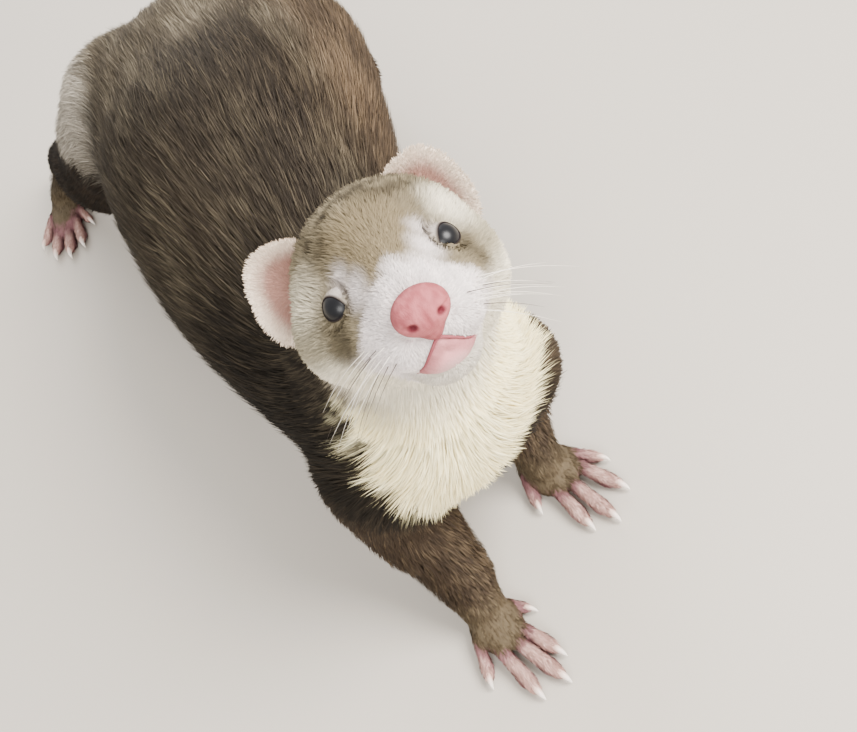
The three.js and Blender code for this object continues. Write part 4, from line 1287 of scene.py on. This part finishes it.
def length_share(p, region):
    """How long the hair is at a place, against the usual of its region."""
    share = np.ones(len(p))
    if region == "face":
        q = to_head(p)
        share *= 0.38 + 0.62 * ease(-20, 6, q[:, 1])
        share *= 1 + 1.0 * ease(14, 32, q[:, 1])
        for at, _ in EYES.values():
            share *= 0.4 + 0.6 * ease(4.5, 9, np.linalg.norm(q - at, axis=1))
        for seat in EAR_SEATS.values():
            share *= 1 + 0.8 * ease(15, 9, np.linalg.norm(q - seat, axis=1))
    if region == "legs":
        share *= 0.4 + 0.8 * ease(10, 52, p[:, 2])
    if region == "feet":
        share *= 0.75 + 0.6 * ease(4, 12, p[:, 2])
    if region == "tail":
        share *= 1 - 0.45 * ease(330, 352, p[:, 1])
    if region == "back":
        share *= 0.75 + 0.3 * ease(40, 110, p[:, 1])
    return share


# The rings of a lid from the opening outward: the share of the way to the lid's edge, which is
# at the eye's equator, and the height over the ball.
LID_RINGS = [(-0.02, -0.3), (0, 0.06), (0.03, 0.18), (0.1, 0.24), (0.3, 0.26), (0.7, 0.26)]
LID_RINGS += [(1.1, 0.22), (1.7, 0.15)]
LID_EDGE, LID_AROUND, LID_HAIRS, EAR_HAIRS = math.radians(92), 64, 5200, 9000


class FERRET_OT_eyes(bpy.types.Operator):
    """Set the eyes behind their dark lids"""

    bl_idname = "ferret.eyes"
    bl_label = "Eyes"

    def execute(self, context):
        for side, name in SIDES.items():
            at, gaze = EYES[side]
            turn = np.array(Vector((0, 0, 1)).rotation_difference(Vector(gaze)).to_matrix())
            points, faces = ball(EYE_RADIUS, 40, 28)
            eye = head_piece(f"eye_{name}_ball", at + points @ turn.T, faces, COLOURS["eye"], "Eye")
            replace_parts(eye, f"eye_{name}")
            self.lid(name, side, at, gaze)
        return {"FINISHED"}

    @staticmethod
    def lid(name, side, at, gaze):
        """A thin shell of lid over the ball, with a dark rim round the opening and short hairs."""
        across = unit(np.cross(gaze, (0.0, 0.0, 1.0)))
        rise = np.cross(across, gaze)
        _, inner = from_sight(np.array([-side, -1.6, -0.5]), 0, gaze)
        corner = math.atan2(inner @ rise, inner @ across)

        def on_lid(share, angle, raised):
            narrow = np.maximum(np.cos(angle - corner), 0) ** 9
            opening = EYE_APERTURE * (1 + 0.08 * np.cos(2 * (angle - corner)) + 0.16 * narrow)
            start = np.arcsin(opening / EYE_RADIUS)
            polar = start + (LID_EDGE - start) * share
            angle, polar = angle[:, None], polar[:, None]
            flat = (np.cos(angle) * across + np.sin(angle) * rise) * np.sin(polar)
            return at + (flat + np.cos(polar) * gaze) * (EYE_RADIUS + raised)

        angle = np.arange(LID_AROUND) * 2 * math.pi / LID_AROUND
        points = np.concatenate([on_lid(share, angle, raised) for share, raised in LID_RINGS])
        share = np.repeat([share for share, _ in LID_RINGS], LID_AROUND)
        rim = np.tile(COLOURS["lid"], (len(points), 1))
        colour = mix(rim, sum(face_marks(points)) / 2, ease(0.06, 0.2, share))
        faces = ring_quads(len(LID_RINGS), LID_AROUND)
        head_piece(f"lid_{name}", points, faces, colour, "Lid")
        rng = np.random.default_rng(17 + side)
        share = 0.12 + 0.83 * rng.random(LID_HAIRS) ** 0.8
        angle = rng.uniform(0, 2 * math.pi, LID_HAIRS)
        root = on_lid(share, angle, 0.12)
        way = unit(on_lid(share + 0.1, angle, 0.12) - root)
        way += rng.normal(size=way.shape) * 0.14
        length = (rng.uniform(0.7, 1.3, LID_HAIRS) * (0.7 + 0.6 * share))[:, None]
        half = rng.uniform(0.06, 0.11, LID_HAIRS)[:, None]
        points, faces = short_hairs(root, way, length, (root - at) / EYE_RADIUS, half)
        shade = sum(face_marks(root)) / 2 * rng.uniform(0.88, 1.08, (LID_HAIRS, 1))
        body = from_head(root)
        short_coat(f"coat_lid_{name}", points, faces, shade, patch_of(body, parts_of(body)))


class FERRET_OT_nose(bpy.types.Operator):
    """Model the nose pad with its nostrils, the lower lip and the line of the mouth"""

    bl_idname = "ferret.nose"
    bl_label = "Nose and mouth"

    def execute(self, context):
        def pad(q):
            d = egg(q, NOSE_AT, NOSE_RADII)
            d = melt(d, egg(q, (0, -23.0, -8.6), (2.6, 3.2, 3.4)), 1.5)
            for side in (-1, 1):
                hole = taper(q, (side * 4.9, -26.4, -6.4), (side * 3.1, -28.4, -7.3), 0.2, 0.6)
                hole = melt(hole, egg(q, (side * 3.0, -28.2, -7.3), (0.75, 1.3, 0.7)), 0.5)
                d = -melt(-d, hole, 0.5)
            groove = taper(q, (0, -29.6, -5.2), (0, -27.2, -11.6), 0.28, 0.42)
            return -melt(-d, groove, 0.5)

        points, quads = DistanceGrid(pad, (-7.4, -31, -14), (7.4, -18, 1), FACE_CELL).surface()
        x, y, z = points.T
        # Painted shade: the groove down the middle of the pad is painted darker. The blush adds darker
        # blotches, a darker edge and a darker top.
        groove = ease(1.1, 0.2, np.abs(x)) * ease(-3.5, -6.5, z) * ease(-26, -28, y)
        blotches = 0.5 * waves(points, 1.5, 51) + 0.5 * waves(points, 0.8, 52)
        from_middle = ((points - NOSE_AT) / NOSE_RADII)[:, [0, 2]]
        rim = ease(0.9, 1.02, np.linalg.norm(from_middle, axis=1))
        blush = np.clip(0.2 + 0.4 * blotches + 0.5 * rim + 0.35 * ease(-7.5, -2.5, z), 0, 0.85)
        coats = [("nose_dark_and_groove_shade", groove * 0.7), ("nose_dark_and_groove_shade", blush)]
        # The nostrils and the skin round them are painted dark red: their lining, with painted shade inside
        # the holes.
        for side in SIDES:
            hole = np.linalg.norm((points - (side * 3.1, -28.0, -7.2)) / (1.3, 2.2, 1.1), axis=1)
            coats.append(("nostril", ease(1.1, 0.5, hole)))
        colour = painted("nose", len(points), *coats)
        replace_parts(head_piece("nose_pad", points, quads, colour, "Moist skin"), "nose")

        points, quads = DistanceGrid(lip_form, (-9, -25, -22), (9, -9, -9), FACE_CELL).surface()
        line = curve_through(LIP_ROW[:, :3], 25)
        off_line = np.min([np.linalg.norm(points - at, axis=1) for at in line], axis=0)
        beside = 0.8 * ease(3.2, 5.2, np.abs(points[:, 0])) * ease(0.8, 2.2, off_line)
        fade = np.maximum(down_lip(points, -17.2, -21.0), beside) * 0.65
        # Near the line of the mouth the lip is painted dark rose: its edge, with painted shade in the
        # crease.
        colour = painted("lip", len(points), ("muzzle", fade), ("mouth", ease(2.4, 0.8, off_line) * 0.6))
        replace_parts(head_piece("lip_lower", points, quads, colour, "Moist skin"), "lower_lip")

        # A dark rose strand along the mouth's crease: partly the lip's edge and partly painted shade.
        path = curve_through([on_skin(q, (q[0] * 0.05, -1, -0.25)) for q in MOUTH_LINE], 49)[10:39]
        half = 0.36 * np.sin(np.linspace(0.15, math.pi - 0.15, len(path))) ** 0.6
        points, faces = tube(path, half, 8, up=(0, -1, -0.3))
        head_piece("mouth_line", points, faces, COLOURS["mouth"], "Moist skin")
        return {"FINISHED"}


class FERRET_OT_ears(bpy.types.Operator):
    """Shape the ears as thin cups with a furred rim"""

    bl_idname = "ferret.ears"
    bl_label = "Ears"

    rings, around = 16, 72

    def execute(self, context):
        rng = np.random.default_rng(3)
        for side, seat in EAR_SEATS.items():
            inner, outer = (self.cup(side, seat, back) for back in (-0.2, 0.75))
            count, faces = len(inner), ring_quads(self.rings, self.around)
            rim = np.arange(count - self.around, count)
            edge = np.stack([rim, rim + count, np.roll(rim, -1) + count, np.roll(rim, -1)], 1)
            points = np.vstack([inner, outer])
            faces = np.vstack([faces, faces[:, ::-1] + count, edge])
            share = np.tile(np.repeat(self.shares(), self.around), 2)
            x, _, z = (points - seat).T
            inward = -side * x / EAR_HALF[0] - 0.5 * z / EAR_HALF[1]
            # The cup darkens toward its middle and the head: mauve skin with painted shade in the hollow.
            deep = ("ear_hollow_shaded", ease(-0.2, 1.0, inward) * ease(0.95, 0.5, share))
            colour = painted("ear_inside", len(points), deep, ("ear_rim", ease(0.55, 0.97, share)))
            colour[count:] = COLOURS["ear_rim"]
            name = SIDES[side]
            ear = head_piece(f"ear_{name}_cup", points, faces, colour, "Ear skin")
            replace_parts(ear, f"ear_{name}")
            self.fringe(name, side, seat, rng)
        return {"FINISHED"}

    @staticmethod
    def outline(side, seat, share, angle, back):
        """A place on the cup, from its middle at share 0 to its rim at share 1."""
        c, s = np.cos(angle), np.sin(angle)
        squared = (np.abs(c) ** EAR_SQUARENESS + np.abs(s) ** EAR_SQUARENESS) ** (-1 / EAR_SQUARENESS)
        x = EAR_HALF[0] * squared * c * share
        y = EAR_CUP * (1 - share**2) + back
        z = EAR_HALF[1] * squared * s * share
        lean, turn = math.radians(-side * EAR_LEAN), math.radians(side * EAR_TURN)
        x, z = x * math.cos(lean) + z * math.sin(lean), z * math.cos(lean) - x * math.sin(lean)
        x, y = x * math.cos(turn) - y * math.sin(turn), x * math.sin(turn) + y * math.cos(turn)
        return np.stack([x, y, z], -1) + np.asarray(seat, float)

    def shares(self):
        return np.linspace(0.06, 1, self.rings)

    def cup(self, side, seat, back):
        """One face of the cup, ring by ring, thinner toward its rim."""
        angle = np.arange(self.around) * 2 * math.pi / self.around
        stops = [(share, back * (1.2 - 0.9 * share)) for share in self.shares()]
        return np.concatenate([self.outline(side, seat, share, angle, behind) for share, behind in stops])

    def fringe(self, name, side, seat, rng):
        """Short, flat hair over both faces of the ear and round its rim."""
        share = np.sqrt(rng.uniform(0.16, 1.0, EAR_HAIRS))
        angle = rng.uniform(0, 2 * math.pi, EAR_HAIRS)
        front = rng.random(EAR_HAIRS) < 0.5
        share[front] = 1 - 0.85 * rng.random(front.sum()) ** 1.3
        root = self.outline(side, seat, share, angle, np.where(front, -0.22, 0.7 - 0.4 * share))
        way = unit(self.outline(side, seat, share + 0.2, angle, np.where(front, -0.5, 0.6)) - root)
        way += rng.normal(size=way.shape) * 0.12
        length = (rng.uniform(0.9, 1.9, EAR_HAIRS) * (1.1 - 0.5 * share))[:, None]
        out = np.array([0.0, 1.0, 0.0]) * np.where(front, -1, 1)[:, None]
        points, faces = short_hairs(root, way, length, out, rng.uniform(0.07, 0.13, EAR_HAIRS)[:, None])
        shade = painted("ear_inside", EAR_HAIRS, ("ear_rim", np.where(front, ease(0.5, 0.95, share), 1)))
        shade *= rng.uniform(0.85, 1.1, (EAR_HAIRS, 1))
        column = 0.5 if side > 0 else 0.77
        patch = np.stack([angle / (2 * math.pi) * 0.2 + column, share * 0.05 + 0.94], 1)
        short_coat(f"coat_ear_{name}", points, faces, shade, patch)


class FERRET_OT_claws(bpy.types.Operator):
    """Curve a claw from the end of each toe"""

    bl_idname = "ferret.claws"
    bl_label = "Claws"

    def execute(self, context):
        for name, foot in FEET.items():
            end, side_name = name.split("_")
            pieces = []
            for root, tip, radius in foot[3]:
                size = radius / USUAL_TOE
                front, length = math.dist(root, tip) + radius * 0.8, CLAW_LENGTH * size
                stops = [(-CLAW_SINK, 2.9), (length * 0.26, 3.2), (length * 0.68, 2.6), (length, 1.1)]
                path = curve_through([self.along(foot, root, tip, front + t, z) for t, z in stops], 13)
                share = np.linspace(0, 1, len(path))
                half = CLAW_RADIUS * size * (0.62 + 0.38 * ease(0, 0.3, share)) * (1 - share**1.7 * 0.88)
                points, faces = tube(path, half, 12, squash=1.15)
                shade = ease(0.15, 0.8, np.append(np.repeat(share, 12), [0, 1]))
                colour = painted("claw_root", len(points), ("claw_tip", shade))
                pieces.append((placed(points), faces, colour))
            made = joined_mesh(f"claws_{side_name}_{end}", pieces, "Horn")
            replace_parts(made, *(f"claw_{side_name}_{end}_{i}" for i in range(1, 6)))
        return {"FINISHED"}

    @staticmethod
    def along(foot, root, tip, t, z):
        """A place so far along a digit from its root, at a height, in the body's frame."""
        step = np.subtract(tip, root) / math.dist(root, tip) * t
        x, y = from_foot(root[0] + step[0], root[1] + step[1], foot)
        return foot[0][0] + x, foot[0][1] + y, z


class FERRET_OT_whiskers(bpy.types.Operator):
    """Set the whiskers in rows on both sides of the muzzle"""

    bl_idname = "ferret.whiskers"
    bl_label = "Whiskers"

    def execute(self, context):
        rng = np.random.default_rng(12)
        pieces = []
        droop = np.array([0.0, 0.35, -0.5])
        for side, tier, place in itertools.product(SIDES, range(3), range(4)):
            at = (side * (6.5 + place * 1.1), -20 + place * 3.2, -7.5 - tier * 2.0)
            root = on_skin(at, (side * 0.8, -0.45, -0.2))
            reach = rng.uniform(9, 18) + place * 2.5
            way = np.array([side * 0.9, 0.35 + 0.12 * place, -0.28 - 0.14 * tier])
            way = unit(way + rng.normal(size=3) * 0.1)
            stops = [root + way * reach * t + droop * reach * 0.35 * t * t for t in (-0.04, 0.3, 0.65, 1)]
            path = from_head(curve_through(stops, 10))
            points, faces = tube(path, 0.11 * (1 - np.linspace(0, 1, len(path)) * 0.85), 4)
            tone = "whisker_pale" if rng.random() < 0.55 else "whisker_dark"
            pieces.append((placed(points), faces, COLOURS[tone]))
        joined_mesh("whiskers", pieces, "Whisker")
        return {"FINISHED"}


CAMERA_AT, LAMPS_AIM = (0, -151, 293), (0, -0.05, 0.06)


class FERRET_OT_stage(bpy.types.Operator):
    """Lay the floor, set the camera and light the ferret softly"""

    bl_idname = "ferret.stage"
    bl_label = "Stage"

    def execute(self, context):
        settings = context.scene.ferret_stage
        scene = context.scene
        corners = np.array([(-6, -6, 0), (6, -6, 0), (6, 6, 0), (-6, 6, 0)], float)
        floor = mesh_of("floor", corners, np.array([[0, 1, 2, 3]]))
        floor.data.materials.append(self.floor_finish(settings.floor))
        data = bpy.data.cameras.new("camera")
        data.lens = settings.lens
        data.sensor_width = 36
        data.clip_start, data.clip_end = 0.01, 20
        camera = bpy.data.objects.new("camera", data)
        tilt, roll = settings.tilt, settings.roll
        forward = Vector((0, math.cos(tilt), -math.sin(tilt)))
        level_right, level_up = Vector((1, 0, 0)), Vector((0, math.sin(tilt), math.cos(tilt)))
        right = level_right * math.cos(roll) - level_up * math.sin(roll)
        up = level_right * math.sin(roll) + level_up * math.cos(roll)
        turn = Matrix((right, up, -forward)).transposed()
        camera.matrix_world = Matrix.Translation(Vector(placed(CAMERA_AT))) @ turn.to_4x4()
        scene.collection.objects.link(camera)
        scene.camera = camera
        lamps = [
            ("key", (0.6, -0.42, 0.8), 0.6, settings.key, (1.0, 0.97, 0.93)),
            ("front", (-0.15, -0.85, 0.65), 0.5, settings.key * 0.3, (1.0, 0.99, 0.97)),
            ("back", (0.1, 0.9, 0.7), 0.8, settings.key * 0.35, (1.0, 1.0, 1.0)),
        ]
        for name, at, size, power, colour in lamps:
            light = bpy.data.lights.new(name, "AREA")
            light.shape, light.size = "DISK", size
            light.energy, light.color = power, colour
            lamp = bpy.data.objects.new(name, light)
            lamp.location = at
            lamp.rotation_euler = (Vector(LAMPS_AIM) - Vector(at)).to_track_quat("-Z", "Y").to_euler()
            scene.collection.objects.link(lamp)
        world = bpy.data.worlds.new("sky")
        world.use_nodes = True
        sky = world.node_tree.nodes["Background"]
        sky.inputs["Color"].default_value = (1.0, 0.985, 0.965, 1)
        sky.inputs["Strength"].default_value = settings.sky
        scene.world = world
        return {"FINISHED"}

    @staticmethod
    def floor_finish(colour):
        """A pale, even paint with a faint mottle."""
        material = bpy.data.materials.new("Pale floor")
        material.use_nodes = True
        nodes, link = material.node_tree.nodes, material.node_tree.links.new
        shader = nodes["Principled BSDF"]
        shader.inputs["Roughness"].default_value = 0.6
        noise = new_node(nodes, "ShaderNodeTexNoise", {"Scale": 3.0})
        ramp = new_node(nodes, "ShaderNodeMix", data_type="RGBA")
        ramp.inputs["A"].default_value = (*colour, 1)
        ramp.inputs["B"].default_value = (*(c * 0.97 for c in colour), 1)
        link(noise.outputs["Fac"], ramp.inputs["Factor"])
        link(ramp.outputs["Result"], shader.inputs["Base Color"])
        return material


class FERRET_PT_panel(bpy.types.Panel):
    """The ferret's pieces, in the order they are made"""

    bl_idname = "FERRET_PT_panel"
    bl_label = "Ferret"
    bl_space_type = "VIEW_3D"
    bl_region_type = "UI"
    bl_category = "Ferret"

    def draw(self, context):
        layout = self.layout
        for step in STEPS:
            layout.operator(step.bl_idname)
        for owner, names in (
            (context.scene.ferret_coat, ("density", "length", "seed")),
            (context.scene.ferret_stage, ("lens", "tilt", "roll", "floor", "key", "sky")),
        ):
            for name in names:
                layout.prop(owner, name)


STEPS = [
    FERRET_OT_stage,
    FERRET_OT_skin,
    FERRET_OT_coat,
    FERRET_OT_eyes,
    FERRET_OT_nose,
    FERRET_OT_ears,
    FERRET_OT_claws,
    FERRET_OT_whiskers,
]
CLASSES = [FerretCoatSettings, FerretStageSettings, *STEPS, FERRET_PT_panel]


def register():
    for made in CLASSES:
        bpy.utils.register_class(made)
    bpy.types.Scene.ferret_coat = bpy.props.PointerProperty(type=FerretCoatSettings)
    bpy.types.Scene.ferret_stage = bpy.props.PointerProperty(type=FerretStageSettings)


def unregister():
    del bpy.types.Scene.ferret_stage
    del bpy.types.Scene.ferret_coat
    for made in reversed(CLASSES):
        bpy.utils.unregister_class(made)


def main():
    register()
    for step in STEPS:
        getattr(bpy.ops.ferret, step.bl_idname.split(".")[1])()


if __name__ == "__main__":
    main()
